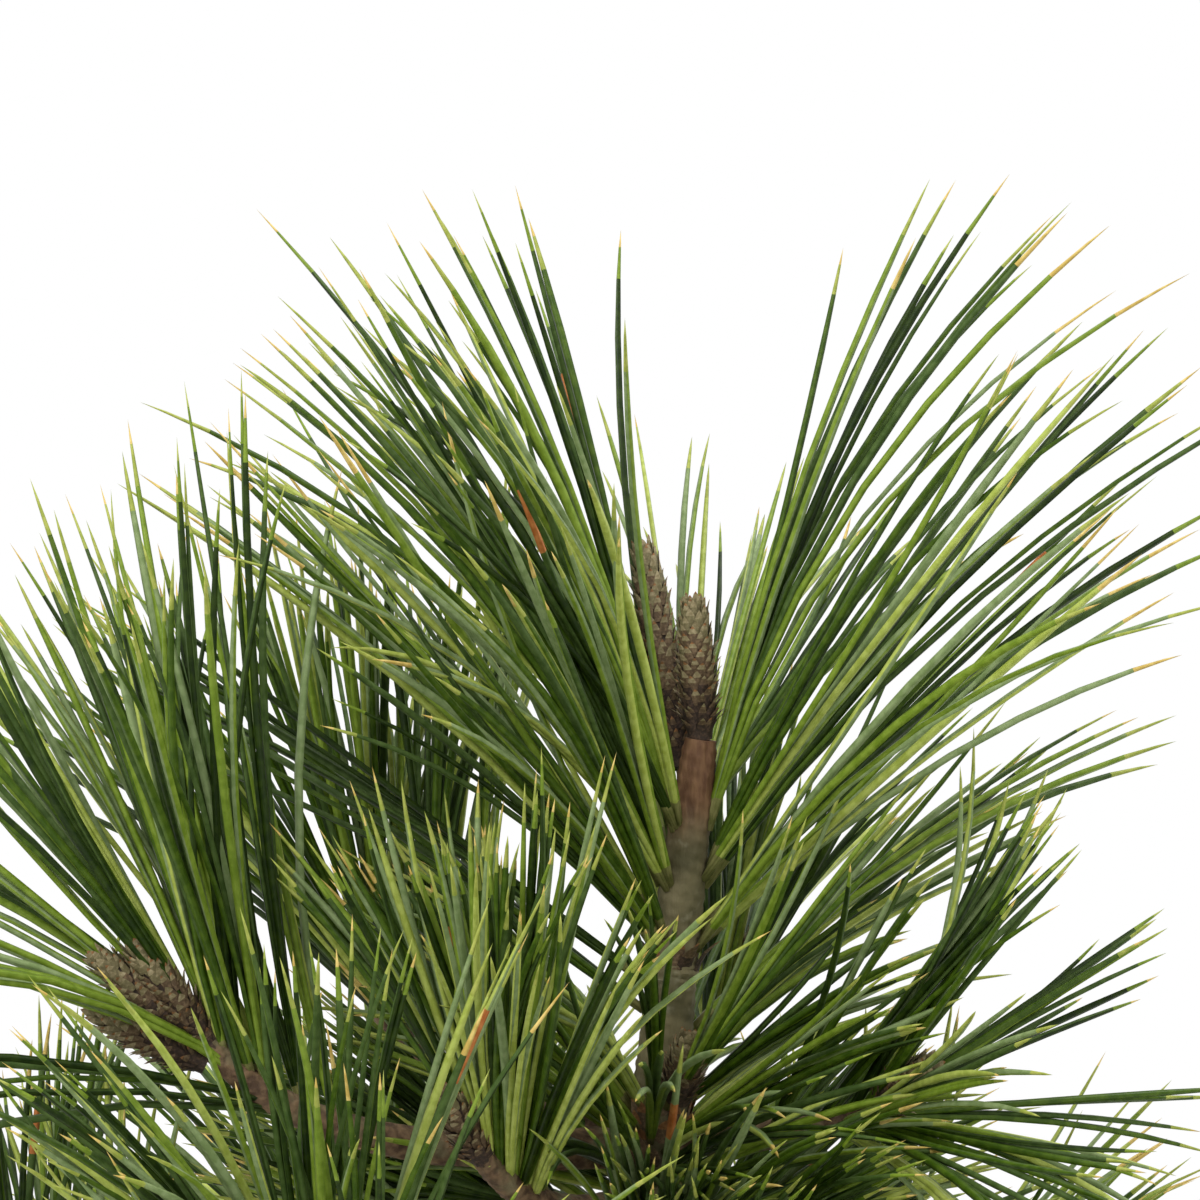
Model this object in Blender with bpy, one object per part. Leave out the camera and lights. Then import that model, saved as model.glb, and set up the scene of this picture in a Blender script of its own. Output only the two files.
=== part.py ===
"""A young Swiss stone pine in a plain nursery pot.

Metres, +Z up. The origin is the centre of the pot's flat underside, and the front is -Y. A leader stands
in the pot and carries two whorls of side shoots. Each side shoot is a bare bough that ends in a brush: a
stem with needles standing out of it, joined into one solid. More such masses stand on the leader itself,
four on its new growth and three on last year's. Compass angles turn from +X (right) over +Y (back).
"""

import math
from collections import namedtuple
from functools import partial

import bmesh
import bpy
import numpy as np
from mathutils import Vector
from mathutils.bvhtree import BVHTree

UP = Vector((0, 0, 1))
GAP = 0.0003  # clearance between solids that touch on the real plant

POT_HEIGHT = 0.130
POT_FOOT_RADIUS = 0.054
POT_WALL_TOP_RADIUS = 0.0690
POT_RIM_RADIUS = 0.075
POT_RIM_HEIGHT = 0.015
POT_WALL = 0.0018
POT_FLOOR = 0.0024
POT_SIDES = 32
DRAIN_HOLES = 6
DRAIN_RADIUS = 0.0045
DRAIN_CIRCLE = 0.040
SOIL_TOP = 0.118
SOIL_SIDES = 24

LEADER_TIP = 0.2775
LEADER_LEAN = 0.0076
LEADER_SWAY = 0.0018
LEADER_TIP_RADIUS = 0.0019
LEADER_TAPER = 0.0034
ROOT_FLARE = 0.0032
ROOT_FLARE_HEIGHT = 0.0045
ROOT_BUTTRESSES = 5
LOW_WHORL = 0.163
HIGH_WHORL = 0.225
WHORL_SWELLING = 0.0006

# reach and rise place a side shoot's tip from the leader's axis, bare is the share of it with no needles,
# and lift turns its needles up towards the light
Shoot = namedtuple("Shoot", "name height compass reach rise bare radius needles length lift seed")
SIDE_SHOOTS = [
    Shoot("left", 0.2265, 210, 0.062, 0.018, 0.36, 0.0026, 56, 0.086, 1.00, 11),
    Shoot("front", 0.2200, 241, 0.042, 0.012, 0.38, 0.0021, 34, 0.054, 0.80, 12),
    Shoot("right", 0.2270, 350, 0.028, 0.005, 0.30, 0.0021, 46, 0.053, 0.00, 13),
    Shoot("back_right", 0.2290, 76, 0.044, 0.010, 0.36, 0.0022, 38, 0.056, 0.45, 14),
    Shoot("back_left", 0.2260, 136, 0.052, 0.016, 0.36, 0.0025, 46, 0.074, 0.60, 15),
    Shoot("low_front_left", 0.1655, 237, 0.070, 0.050, 0.46, 0.0026, 50, 0.070, 0.70, 21),
    Shoot("low_left", 0.1605, 182, 0.080, 0.032, 0.46, 0.0027, 48, 0.074, 0.70, 22),
    Shoot("low_front_right", 0.1620, 299, 0.058, 0.016, 0.42, 0.0025, 42, 0.058, 0.10, 23),
    Shoot("low_right", 0.1660, 2, 0.054, 0.006, 0.40, 0.0025, 42, 0.056, 0.00, 24),
    Shoot("low_back_right", 0.1610, 60, 0.064, 0.022, 0.42, 0.0025, 44, 0.066, 0.20, 25),
    Shoot("low_back_left", 0.1645, 122, 0.070, 0.030, 0.43, 0.0026, 46, 0.072, 0.40, 26),
]

# The masses that stand on the leader itself: the upper ones on its new growth, the inner ones on last year's.
# half is a mass's half width round the leader, and each pair is a needle's length, or its spread from the
# leader's axis, at the foot and at the top of the mass.
Fan = namedtuple("Fan", "name compass half growth needles length spread seed")
NEW_GROWTH = (0.237, 0.273)
LAST_GROWTH = (0.180, 0.209)
LEADER_FANS = [
    Fan("leader_left", 166, 38, NEW_GROWTH, 60, (0.090, 0.080), (62, 23), 31),
    Fan("leader_right", 356, 36, NEW_GROWTH, 54, (0.076, 0.093), (56, 11), 32),
    Fan("leader_front", 228, 20, NEW_GROWTH, 14, (0.074, 0.074), (60, 32), 33),
    Fan("leader_back", 82, 38, NEW_GROWTH, 40, (0.068, 0.062), (64, 44), 34),
    Fan("inner_left", 165, 50, LAST_GROWTH, 18, (0.060, 0.056), (70, 48), 35),
    Fan("inner_front", 278, 50, LAST_GROWTH, 16, (0.054, 0.050), (72, 50), 36),
    Fan("inner_right", 40, 50, LAST_GROWTH, 16, (0.054, 0.050), (72, 50), 37),
]
FAN_THICKNESS = 0.0015

SHOOT_KNEE_OUT = 0.82  # shares of the reach, rise and reach at which a side shoot's curve turns up
SHOOT_KNEE_UP = 0.06
SHOOT_KNEE_SIDEWAYS = 0.08
SHOOT_TIP_RADIUS = 0.0015
COLLAR = 0.12  # extra thickness of a side shoot where it leaves the leader
BUD_LENGTH = 0.010
BUD_RADIUS = 0.0021
CANDLE_RADIUS = 0.0022
CANDLE_WAY = Vector((-0.001, 0, 0.0178))
SIDE_CANDLE_FORK = 0.2735
SIDE_CANDLE_COMPASS = 125
SIDE_CANDLE_STALK = 0.0012
SIDE_CANDLE_TIP = Vector((0.0002, 0.0115, 0.3025))
SMALL_CANDLE_FOOT = 0.2325
SMALL_CANDLE_COMPASS = 297
SMALL_CANDLE_LENGTH = 0.009
LEFT_CANDLE_LENGTH = 0.015
LEFT_CANDLES = ((0.30, 0.0050), (1.10, 0.0015))  # how far each leans left, and the length of its stalk

NEEDLE_RADIUS = 0.00085
NEEDLE_ROOT_RADIUS = 0.00050
NEEDLE_BEND_AT = 0.45
NEEDLE_CLEARANCE = 0.0004  # added to the radius when a needle is tried for room
SHEATH = 0.06  # share of a needle that may lie within reach of its own limb
NEEDLES_FROM = 0.05  # shares of a side shoot's stem between which its needles stand
NEEDLES_TO = 0.93
FOOT_SPREAD = 66  # degrees between needle and stem at the two ends
END_SPREAD = 24
END_SHORTER = 0.16  # share by which a side shoot's last needles are shorter
TRIES_PER_NEEDLE = 8


def material(name, colour, roughness):
    """A Principled material in one colour."""
    made = bpy.data.materials.new(name)
    made.use_nodes = True
    shader = made.node_tree.nodes["Principled BSDF"]
    shader.inputs["Base Color"].default_value = (*colour, 1)
    shader.inputs["Roughness"].default_value = roughness
    shader.inputs["Metallic"].default_value = 0
    return made


def add_object(name, mesh, surface):
    """Links a mesh to the scene as the named object in its material."""
    mesh.materials.clear()
    mesh.materials.append(surface)
    made = bpy.data.objects.new(name, mesh)
    bpy.context.scene.collection.objects.link(made)
    return made


def mesh_from(shape, name):
    """Ends a bmesh: normals outwards, flat faces kept, stored as a mesh."""
    bmesh.ops.recalc_face_normals(shape, faces=shape.faces)
    mesh = bpy.data.meshes.new(name)
    shape.to_mesh(mesh)
    shape.free()
    return mesh


def across(direction):
    """Two unit vectors square to a direction and to each other."""
    first = direction.orthogonal().normalized()
    return first, direction.cross(first).normalized()


def add_tube(shape, points, radii, sides, lobes=None):
    """A closed tube through the points: one ring of corners at each, square to the path, and flat ends."""
    side = None
    rings = []
    for index, (point, radius) in enumerate(zip(points, radii)):
        before = points[max(index - 1, 0)]
        after = points[min(index + 1, len(points) - 1)]
        tangent = (after - before).normalized()
        if side is None:
            side = across(tangent)[0]
        side = (side - tangent * side.dot(tangent)).normalized()
        other = tangent.cross(side)
        ring = []
        for step in range(sides):
            turn = 2 * math.pi * step / sides
            reach = radius * (lobes(index, turn) if lobes else 1)
            ring.append(shape.verts.new(point + (side * math.cos(turn) + other * math.sin(turn)) * reach))
        rings.append(ring)
    shape.faces.new(list(reversed(rings[0])))
    shape.faces.new(rings[-1])
    for low, high in zip(rings, rings[1:]):
        for step in range(sides):
            following = (step + 1) % sides
            shape.faces.new([low[step], low[following], high[following], high[step]])


def compass_direction(degrees):
    """The level unit vector at a compass angle."""
    return Vector((math.cos(math.radians(degrees)), math.sin(math.radians(degrees)), 0))


def leader_point(height):
    """The leader's axis: it leans right as the square of its height, and sways off that line once."""
    share = (height - SOIL_TOP) / (LEADER_TIP - SOIL_TOP)
    return Vector((
        LEADER_LEAN * share**2 - LEADER_SWAY * math.sin(math.pi * share),
        0.5 * LEADER_SWAY * math.sin(2 * math.pi * share),
        height,
    ))


def leader_radius(height):
    """The leader's taper, with a flare at the soil and a swelling at each whorl."""
    share = (height - SOIL_TOP) / (LEADER_TIP - SOIL_TOP)
    taper = LEADER_TIP_RADIUS + LEADER_TAPER * max(1 - share, 0) ** 0.6
    flare = ROOT_FLARE * math.exp(-(height - SOIL_TOP) / ROOT_FLARE_HEIGHT)
    knots = sum(math.exp(-(((height - whorl) / 0.005) ** 2)) for whorl in (LOW_WHORL, HIGH_WHORL))
    return taper + flare + WHORL_SWELLING * knots


def leader_axis(height):
    """The leader's direction of growth at a height."""
    return (leader_point(height + 0.001) - leader_point(height - 0.001)).normalized()


def build_pot(surface):
    """A turned pot with a stepped rim, open at the top, with drain holes in its floor."""
    shape = bmesh.new()
    rim_foot = POT_HEIGHT - POT_RIM_HEIGHT
    profile = [
        (0, 0),
        (POT_FOOT_RADIUS - 0.002, 0),
        (POT_FOOT_RADIUS, 0.002),
        (POT_WALL_TOP_RADIUS, rim_foot),
        (POT_RIM_RADIUS - 0.0012, rim_foot),
        (POT_RIM_RADIUS, POT_HEIGHT - 0.001),
        (POT_RIM_RADIUS - 0.001, POT_HEIGHT),
        (POT_RIM_RADIUS - 0.0028, POT_HEIGHT),
        (POT_WALL_TOP_RADIUS - POT_WALL, rim_foot - 0.002),
        (POT_FOOT_RADIUS - POT_WALL, POT_FLOOR),
        (0, POT_FLOOR),
    ]
    corners = [shape.verts.new((radius, 0, height)) for radius, height in profile]
    edges = [shape.edges.new(pair) for pair in zip(corners, corners[1:])]
    bmesh.ops.spin(
        shape, geom=corners + edges, axis=(0, 0, 1), cent=(0, 0, 0), angle=2 * math.pi, steps=POT_SIDES
    )
    bmesh.ops.remove_doubles(shape, verts=shape.verts, dist=1e-6)
    pot = add_object("pot", mesh_from(shape, "pot"), surface)
    for hole in range(DRAIN_HOLES):
        place = compass_direction(360 * hole / DRAIN_HOLES) * DRAIN_CIRCLE
        shape = bmesh.new()
        bmesh.ops.create_cone(
            shape, cap_ends=True, segments=10, depth=4 * POT_FLOOR, radius1=DRAIN_RADIUS, radius2=DRAIN_RADIUS
        )
        cutter = add_object(f"drain_cutter_{hole}", mesh_from(shape, "drain_cutter"), surface)
        cutter.location = place
        cutter.hide_render = True
        cutter.display_type = "WIRE"
        cut = pot.modifiers.new(cutter.name, "BOOLEAN")
        cut.operation = "DIFFERENCE"
        cut.object = cutter
    return pot


def build_soil(surface):
    """The compost that fills the pot: a tapered plug with a low crown, level where the leader stands."""
    shape = bmesh.new()
    taper = (POT_WALL_TOP_RADIUS - POT_FOOT_RADIUS) / (POT_HEIGHT - POT_RIM_HEIGHT)
    inner_foot = POT_FOOT_RADIUS - POT_WALL - 2 * GAP
    foot = POT_FLOOR + GAP
    profile = [
        (0, foot),
        (inner_foot, foot),
        (inner_foot + taper * (SOIL_TOP - 0.006), SOIL_TOP - 0.004),
        (0.040, SOIL_TOP - 0.001),
        (0.014, SOIL_TOP),
        (0, SOIL_TOP),
    ]
    corners = [shape.verts.new((radius, 0, height)) for radius, height in profile]
    edges = [shape.edges.new(pair) for pair in zip(corners, corners[1:])]
    bmesh.ops.spin(
        shape, geom=corners + edges, axis=(0, 0, 1), cent=(0, 0, 0), angle=2 * math.pi, steps=SOIL_SIDES
    )
    bmesh.ops.remove_doubles(shape, verts=shape.verts, dist=1e-6)
    return add_object("soil", mesh_from(shape, "soil"), surface)


def build_leader(surface):
    """The trunk: one tapering limb from a flat cut at the soil to the foot of its end candle."""
    foot = SOIL_TOP + GAP
    heights = [foot + offset for offset in (0, 0.002, 0.005, 0.011)]
    heights += [0.142, LOW_WHORL - 0.007, LOW_WHORL, LOW_WHORL + 0.007, 0.186, 0.206]
    heights += [HIGH_WHORL - 0.007, HIGH_WHORL, HIGH_WHORL + 0.007, 0.245, 0.256, 0.267, LEADER_TIP]

    def buttress(index, turn):
        depth = 0.16 * math.exp(-(heights[index] - foot) / ROOT_FLARE_HEIGHT)
        return 1 + depth * math.cos(ROOT_BUTTRESSES * turn)

    shape = bmesh.new()
    points = [leader_point(height) for height in heights]
    # The foot is cut level, so its first step runs straight up
    points[1].x, points[1].y = points[0].x, points[0].y
    add_tube(shape, points, [leader_radius(height) for height in heights], 10, buttress)
    return add_object("trunk", mesh_from(shape, "trunk"), surface)


def shoot_point(shoot, share):
    """A side shoot's axis: a curve that leaves the leader nearly level and turns up at its end."""
    foot = leader_point(shoot.height)
    outward = compass_direction(shoot.compass)
    sideways = UP.cross(outward)
    knee = foot + (outward * SHOOT_KNEE_OUT + sideways * SHOOT_KNEE_SIDEWAYS) * shoot.reach
    knee += UP * SHOOT_KNEE_UP * shoot.rise
    tip = foot + outward * shoot.reach + UP * shoot.rise
    return foot * (1 - share) ** 2 + knee * 2 * share * (1 - share) + tip * share**2


def shoot_tangent(shoot, share):
    """The direction in which a side shoot grows at a share of its length."""
    return (shoot_point(shoot, share + 0.01) - shoot_point(shoot, share - 0.01)).normalized()


def shoot_radius(shoot, share):
    """The taper of a side shoot, with a collar where it leaves the leader."""
    collar = COLLAR * math.exp(-share / 0.08)
    return shoot.radius * (1 + collar) * (1 - share) + SHOOT_TIP_RADIUS * share


def share_at(shoot, distance):
    """The share of a side shoot that lies a distance from the leader's axis."""
    foot = leader_point(shoot.height)
    shares = np.linspace(0, 1, 400)
    reached = [(shoot_point(shoot, share) - foot).length for share in shares]
    return float(np.interp(distance, reached, shares))


def build_bough(shoot, surface):
    """The bare part of a side shoot, from the leader's bark to where its needles begin."""
    tilt = abs(shoot_tangent(shoot, 0.02).z)
    start = share_at(shoot, leader_radius(shoot.height) + GAP + 1.25 * shoot.radius * tilt)
    shares = [start + (shoot.bare - start) * step / 4 for step in range(5)]
    shape = bmesh.new()
    points = [shoot_point(shoot, share) for share in shares]
    add_tube(shape, points, [shoot_radius(shoot, share) for share in shares], 8)
    return add_object(f"bough_{shoot.name}", mesh_from(shape, "bough"), surface)


def add_bud(points, radii, direction, length):
    """Carries a stem's tip on into a bud."""
    tip = points[-1]
    for share, fatness in ((0.15, 0.9), (0.5, 1.0), (0.85, 0.8), (1.0, 0.25)):
        points.append(tip + direction * length * share)
        radii.append(BUD_RADIUS * fatness)


def build_stem(shoot, surface):
    """The part of a side shoot that bears needles, with its bud, a gap away from the bough."""
    gap_share = 1.3 * GAP / (shoot_point(shoot, 1) - shoot_point(shoot, 0)).length
    start = shoot.bare + gap_share
    shares = [start + (1 - start) * step / 5 for step in range(6)]
    points = [shoot_point(shoot, share) for share in shares]
    radii = [shoot_radius(shoot, share) for share in shares]
    bud_length = LEFT_CANDLE_LENGTH if shoot.name == "left" else BUD_LENGTH
    add_bud(points, radii, shoot_tangent(shoot, 0.99), bud_length)
    shape = bmesh.new()
    add_tube(shape, points, radii, 8)
    return add_object(f"needles_{shoot.name}", mesh_from(shape, "needles"), surface)


def build_left_candles(shoot, surface):
    """The two candles beside the left shoot's own bud, which lean further out the lower they stand."""
    direction = shoot_tangent(shoot, 0.99)
    foot = shoot_point(shoot, 1) - direction * 0.5 * BUD_LENGTH
    made = []
    for lean, stalk in LEFT_CANDLES:
        way = (direction + compass_direction(180) * lean).normalized()
        points, radii = [foot, foot + way * (BUD_RADIUS + stalk)], [0.9 * SHOOT_TIP_RADIUS, SHOOT_TIP_RADIUS]
        add_bud(points, radii, way, LEFT_CANDLE_LENGTH)
        shape = bmesh.new()
        add_tube(shape, points, radii, 6)
        made.append(add_object("left_candle", mesh_from(shape, "left_candle"), surface))
    return made


def build_fan_core(fan, surface):
    """The foot of a mass on the leader: a strip of needle bases that hugs the bark."""
    low, high = fan.growth
    heights = [low + (high - low) * step / 4 for step in range(5)]
    shape = bmesh.new()
    rings = []
    for height in heights:
        centre, inner = leader_point(height), leader_radius(height) + 1.5 * GAP
        ring = []
        # Three flat facets inside and three outside, whose corners stand further out than their middles
        for radius, turns in ((inner, (-3, -1, 1, 3)), (inner + FAN_THICKNESS, (3, 1, -1, -3))):
            reach = radius / math.cos(math.radians(fan.half / 3))
            for turn in turns:
                corner = centre + compass_direction(fan.compass + turn * fan.half / 3) * reach
                ring.append(shape.verts.new(corner))
        rings.append(ring)
    shape.faces.new(list(reversed(rings[0])))
    shape.faces.new(rings[-1])
    for low, high in zip(rings, rings[1:]):
        for step in range(8):
            following = (step + 1) % 8
            shape.faces.new([low[step], low[following], high[following], high[step]])
    return add_object(f"needles_{fan.name}", mesh_from(shape, "needles"), surface)


def needle_point(needle, share):
    """A needle's axis: straight along its aim, with a sag that grows as the square of the way along."""
    root, aim, sag, length = needle
    return root + (aim * share + sag * share**2) * length


def add_needle(shape, needle, extra=0.0, start=0.0):
    """A needle as a three-sided blade with one bend and a sharp tip."""
    root, aim, sag, length = needle
    first, second = across(aim)
    rings = []
    for share, radius in ((start, NEEDLE_ROOT_RADIUS), (NEEDLE_BEND_AT, NEEDLE_RADIUS)):
        point = needle_point(needle, share)
        ring = []
        for step in range(3):
            turn = 2 * math.pi * step / 3
            corner = (first * math.cos(turn) + second * math.sin(turn)) * (radius + extra)
            ring.append(shape.verts.new(point + corner))
        rings.append(ring)
    tip = shape.verts.new(needle_point(needle, 1 + extra / length))
    shape.faces.new(list(reversed(rings[0])))
    for step in range(3):
        following = (step + 1) % 3
        shape.faces.new([rings[0][step], rings[0][following], rings[1][following], rings[1][step]])
        shape.faces.new([rings[1][step], rings[1][following], tip])


def spread_evenly(index):
    """Two numbers from 0 to 1 that fill the unit square evenly, however many indices are drawn."""
    return (0.5 + index * 0.7548777) % 1, (0.5 + index * 0.5698403) % 1


def draw(low, high, seed, index, salt):
    """A number between two limits that looks random, and is the same for the same seed, index and salt."""
    scattered = 43758.5453 * math.sin(12.9898 * index + 78.233 * seed + 37.719 * salt)
    return low + (high - low) * (scattered % 1)


def shoot_needle(shoot, index):
    """The needle that a side shoot tries at an index: it leans further forward the nearer the tip."""
    up_stem, round_stem = spread_evenly(index)
    share = shoot.bare + (1 - shoot.bare) * (NEEDLES_FROM + (NEEDLES_TO - NEEDLES_FROM) * up_stem)
    tangent = shoot_tangent(shoot, share)
    one, other = across(tangent)
    turn = 2 * math.pi * round_stem
    outward = one * math.cos(turn) + other * math.sin(turn)
    spread = FOOT_SPREAD + (END_SPREAD - FOOT_SPREAD) * up_stem + draw(-7, 7, shoot.seed, index, 1)
    spread = math.radians(spread)
    aim = tangent * math.cos(spread) + outward * math.sin(spread) + UP * shoot.lift
    aim.normalize()
    sag = outward - aim * outward.dot(aim) - (UP - aim * aim.z) * 0.5
    sag *= draw(0.02, 0.16, shoot.seed, index, 2)
    length = shoot.length * (1 - END_SHORTER * up_stem) * draw(0.90, 1.04, shoot.seed, index, 3)
    return shoot_point(shoot, share), aim, sag, length


def fan_needle(fan, index):
    """The needle that a mass on the leader tries at an index: steeper the higher it stands."""
    up_fan, round_fan = spread_evenly(index)
    low, high = fan.growth
    height = low + 0.001 + (high - low - 0.002) * up_fan**0.7
    turn = 0.72 * fan.half * (2 * round_fan - 1)
    root_side = compass_direction(fan.compass + turn)
    outward = compass_direction(fan.compass + turn * 1.5)
    root = leader_point(height) + root_side * (leader_radius(height) + 1.5 * GAP + 0.5 * FAN_THICKNESS)
    spread = fan.spread[0] + (fan.spread[1] - fan.spread[0]) * up_fan + draw(-6, 6, fan.seed, index, 1)
    droop = draw(0.06, 0.20, fan.seed, index, 2)
    start_angle = math.radians(spread) - math.atan(droop)
    tangent = leader_axis(height)
    aim = (tangent * math.cos(start_angle) + outward * math.sin(start_angle)).normalized()
    sag = (outward * math.cos(start_angle) - tangent * math.sin(start_angle)) * droop
    length = fan.length[0] + (fan.length[1] - fan.length[0]) * up_fan
    return root, aim, sag, length * draw(0.90, 1.04, fan.seed, index, 3)


def heart_of_shoot(shoot):
    """The line at the heart of a side shoot's space: its stem, carried on past the bud and upwards."""
    tip = shoot_point(shoot, 1)
    onward = (shoot_tangent(shoot, 0.98) + UP * 2 * shoot.lift).normalized()
    return [shoot_point(shoot, shoot.bare), tip, tip + onward * 0.8 * shoot.length]


def heart_of_fan(fan):
    """The line at the heart of a mass on the leader: it climbs away from the leader on its own side."""
    foot = leader_point(0.5 * sum(fan.growth))
    return [foot, foot + (compass_direction(fan.compass) * 0.9 + UP).normalized() * fan.length[1]]


def distance_to(point, line):
    """How far a point lies from a line through two or three points."""
    nearest = math.inf
    for foot, tip in zip(line, line[1:]):
        way = tip - foot
        share = min(max((point - foot).dot(way) / way.length_squared, 0), 1)
        nearest = min(nearest, (point - foot - way * share).length)
    return nearest


def in_own_space(needle, own, hearts):
    """True if the outer part of a needle is nearest its own mass's heart, and above the pot."""
    for share in (0.35, 0.6, 0.8, 1.0):
        point = needle_point(needle, share)
        nearest = min(hearts, key=lambda name: distance_to(point, hearts[name]))
        if nearest != own or point.z < POT_HEIGHT + 0.004:
            return False
    return True


def tree_of(made):
    """A search tree of an object's faces, to try needles against."""
    corners = [vertex.co.copy() for vertex in made.data.vertices]
    return BVHTree.FromPolygons(corners, [list(face.vertices) for face in made.data.polygons])


def sheath_tree(needle, clearance):
    """A search tree of a needle without its root, thickened by a clearance."""
    shape = bmesh.new()
    add_needle(shape, needle, clearance, SHEATH)
    tree = BVHTree.FromBMesh(shape)
    shape.free()
    return tree


def choose_needles(needle_at, wanted, own, hearts, others):
    """Tries needles in turn until the wanted number has room.

    A needle that would leave the mass's own space, or come close to another solid or needle, is skipped.
    """
    kept = []
    taken = list(others)
    for index in range(TRIES_PER_NEEDLE * wanted):
        needle = needle_at(index)
        if len(kept) == wanted or not in_own_space(needle, own, hearts):
            continue
        tried = sheath_tree(needle, NEEDLE_CLEARANCE)
        if not any(tried.overlap(tree) for tree in taken):
            kept.append(needle)
            taken.append(sheath_tree(needle, 0))
    return kept


def join_mass(stem, twigs, needles, surface):
    """Fuses needles and any twigs to their stem by one Boolean union on a collection."""
    group = bpy.data.collections.new(f"{stem.name}_pieces")
    bpy.context.scene.collection.children.link(group)
    for twig in twigs:
        bpy.context.scene.collection.objects.unlink(twig)
        group.objects.link(twig)
    for needle in needles:
        shape = bmesh.new()
        add_needle(shape, needle)
        mesh = mesh_from(shape, "needle")
        mesh.materials.append(surface)
        group.objects.link(bpy.data.objects.new("needle", mesh))
    union = stem.modifiers.new("join", "BOOLEAN")
    union.operation = "UNION"
    union.operand_type = "COLLECTION"
    union.collection = group
    union.solver = "MANIFOLD"
    bpy.context.view_layer.update()
    graph = bpy.context.evaluated_depsgraph_get()
    joined = bpy.data.meshes.new_from_object(stem.evaluated_get(graph))
    stem.modifiers.clear()
    stem.data = joined
    for piece in list(group.objects):
        bpy.data.objects.remove(piece)
    bpy.data.collections.remove(group)


def build_candle(name, foot, tip, stalk, surface):
    """A scaly candle on a short stalk: rings that swell and shrink in turn, closed by a blunt tip."""
    shares = (0.22, 0.34, 0.48, 0.60, 0.72, 0.84, 0.95, 1)
    fatness = (0.62, 0.92, 0.86, 1.0, 0.90, 1.0, 0.80, 0.35)
    points = [foot] + [foot.lerp(tip, share) for share in shares]
    radii = [stalk] + [CANDLE_RADIUS * fat for fat in fatness]

    def scales(index, turn):
        return 1 + 0.07 * math.cos(4 * (turn + index * math.pi / 4))

    shape = bmesh.new()
    add_tube(shape, points, radii, 8, scales)
    return add_object(name, mesh_from(shape, name), surface)


def build_candles(surface):
    """The leader's own candle, a taller one that forks off behind it, and a small one at the upper whorl."""
    tip = leader_point(LEADER_TIP)
    own = build_candle("candle_leader", tip + UP * GAP, tip + CANDLE_WAY, 0.95 * LEADER_TIP_RADIUS, surface)
    out = leader_radius(SIDE_CANDLE_FORK) + GAP + SIDE_CANDLE_STALK
    fork = leader_point(SIDE_CANDLE_FORK) + compass_direction(SIDE_CANDLE_COMPASS) * out
    side = build_candle("candle_side", fork, SIDE_CANDLE_TIP, SIDE_CANDLE_STALK, surface)
    out = leader_radius(SMALL_CANDLE_FOOT) + GAP + SIDE_CANDLE_STALK
    bud = leader_point(SMALL_CANDLE_FOOT) + compass_direction(SMALL_CANDLE_COMPASS) * out
    way = (UP + compass_direction(SMALL_CANDLE_COMPASS) * 0.35).normalized()
    small = build_candle("candle_small", bud, bud + way * SMALL_CANDLE_LENGTH, SIDE_CANDLE_STALK, surface)
    return [own, side, small]


def main():
    """Builds every node: the pot, the soil, the limbs, and then the masses one after another."""
    for left_over in list(bpy.data.objects):
        bpy.data.objects.remove(left_over)
    pot_plastic = material("pot_plastic", (0.030, 0.030, 0.032), 0.5)
    compost = material("compost", (0.045, 0.028, 0.018), 0.95)
    bark = material("bark", (0.20, 0.14, 0.085), 0.85)
    candle_scales = material("candle_scales", (0.24, 0.17, 0.09), 0.75)
    needle_green = material("needle_green", (0.075, 0.17, 0.045), 0.5)

    limbs = [build_pot(pot_plastic), build_soil(compost), build_leader(bark)]
    limbs += [build_bough(shoot, bark) for shoot in SIDE_SHOOTS]
    limbs += build_candles(candle_scales)

    hearts = {f"needles_{shoot.name}": heart_of_shoot(shoot) for shoot in SIDE_SHOOTS}
    hearts.update({f"needles_{fan.name}": heart_of_fan(fan) for fan in LEADER_FANS})
    masses = []
    for fan in LEADER_FANS:
        masses.append((build_fan_core(fan, needle_green), [], partial(fan_needle, fan), fan.needles))
    for shoot in SIDE_SHOOTS:
        twigs = build_left_candles(shoot, needle_green) if shoot.name == "left" else []
        masses.append((build_stem(shoot, needle_green), twigs, partial(shoot_needle, shoot), shoot.needles))

    trees = {made.name: tree_of(made) for made in limbs + [mass[0] for mass in masses]}
    for stem, twigs, needle_at, wanted in masses:
        others = [tree for name, tree in trees.items() if name != stem.name]
        needles = choose_needles(needle_at, wanted, stem.name, hearts, others)
        join_mass(stem, twigs, needles, needle_green)
        trees[stem.name] = tree_of(stem)


main()
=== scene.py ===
import math
from collections import namedtuple

import bpy
import numpy as np
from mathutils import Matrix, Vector


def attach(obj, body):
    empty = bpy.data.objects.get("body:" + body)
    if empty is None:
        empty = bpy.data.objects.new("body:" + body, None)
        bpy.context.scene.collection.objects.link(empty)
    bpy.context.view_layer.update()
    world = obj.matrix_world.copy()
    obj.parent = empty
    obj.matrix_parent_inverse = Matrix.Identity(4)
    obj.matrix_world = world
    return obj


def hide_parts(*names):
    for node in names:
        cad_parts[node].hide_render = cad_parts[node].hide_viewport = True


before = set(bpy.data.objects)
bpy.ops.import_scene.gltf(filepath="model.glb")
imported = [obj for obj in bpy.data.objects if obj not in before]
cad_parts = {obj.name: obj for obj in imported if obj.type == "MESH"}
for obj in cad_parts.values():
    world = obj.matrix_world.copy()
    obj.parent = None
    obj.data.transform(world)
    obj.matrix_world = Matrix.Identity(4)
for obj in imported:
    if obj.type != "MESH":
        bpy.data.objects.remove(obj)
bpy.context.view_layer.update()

scene = bpy.context.scene

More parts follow.
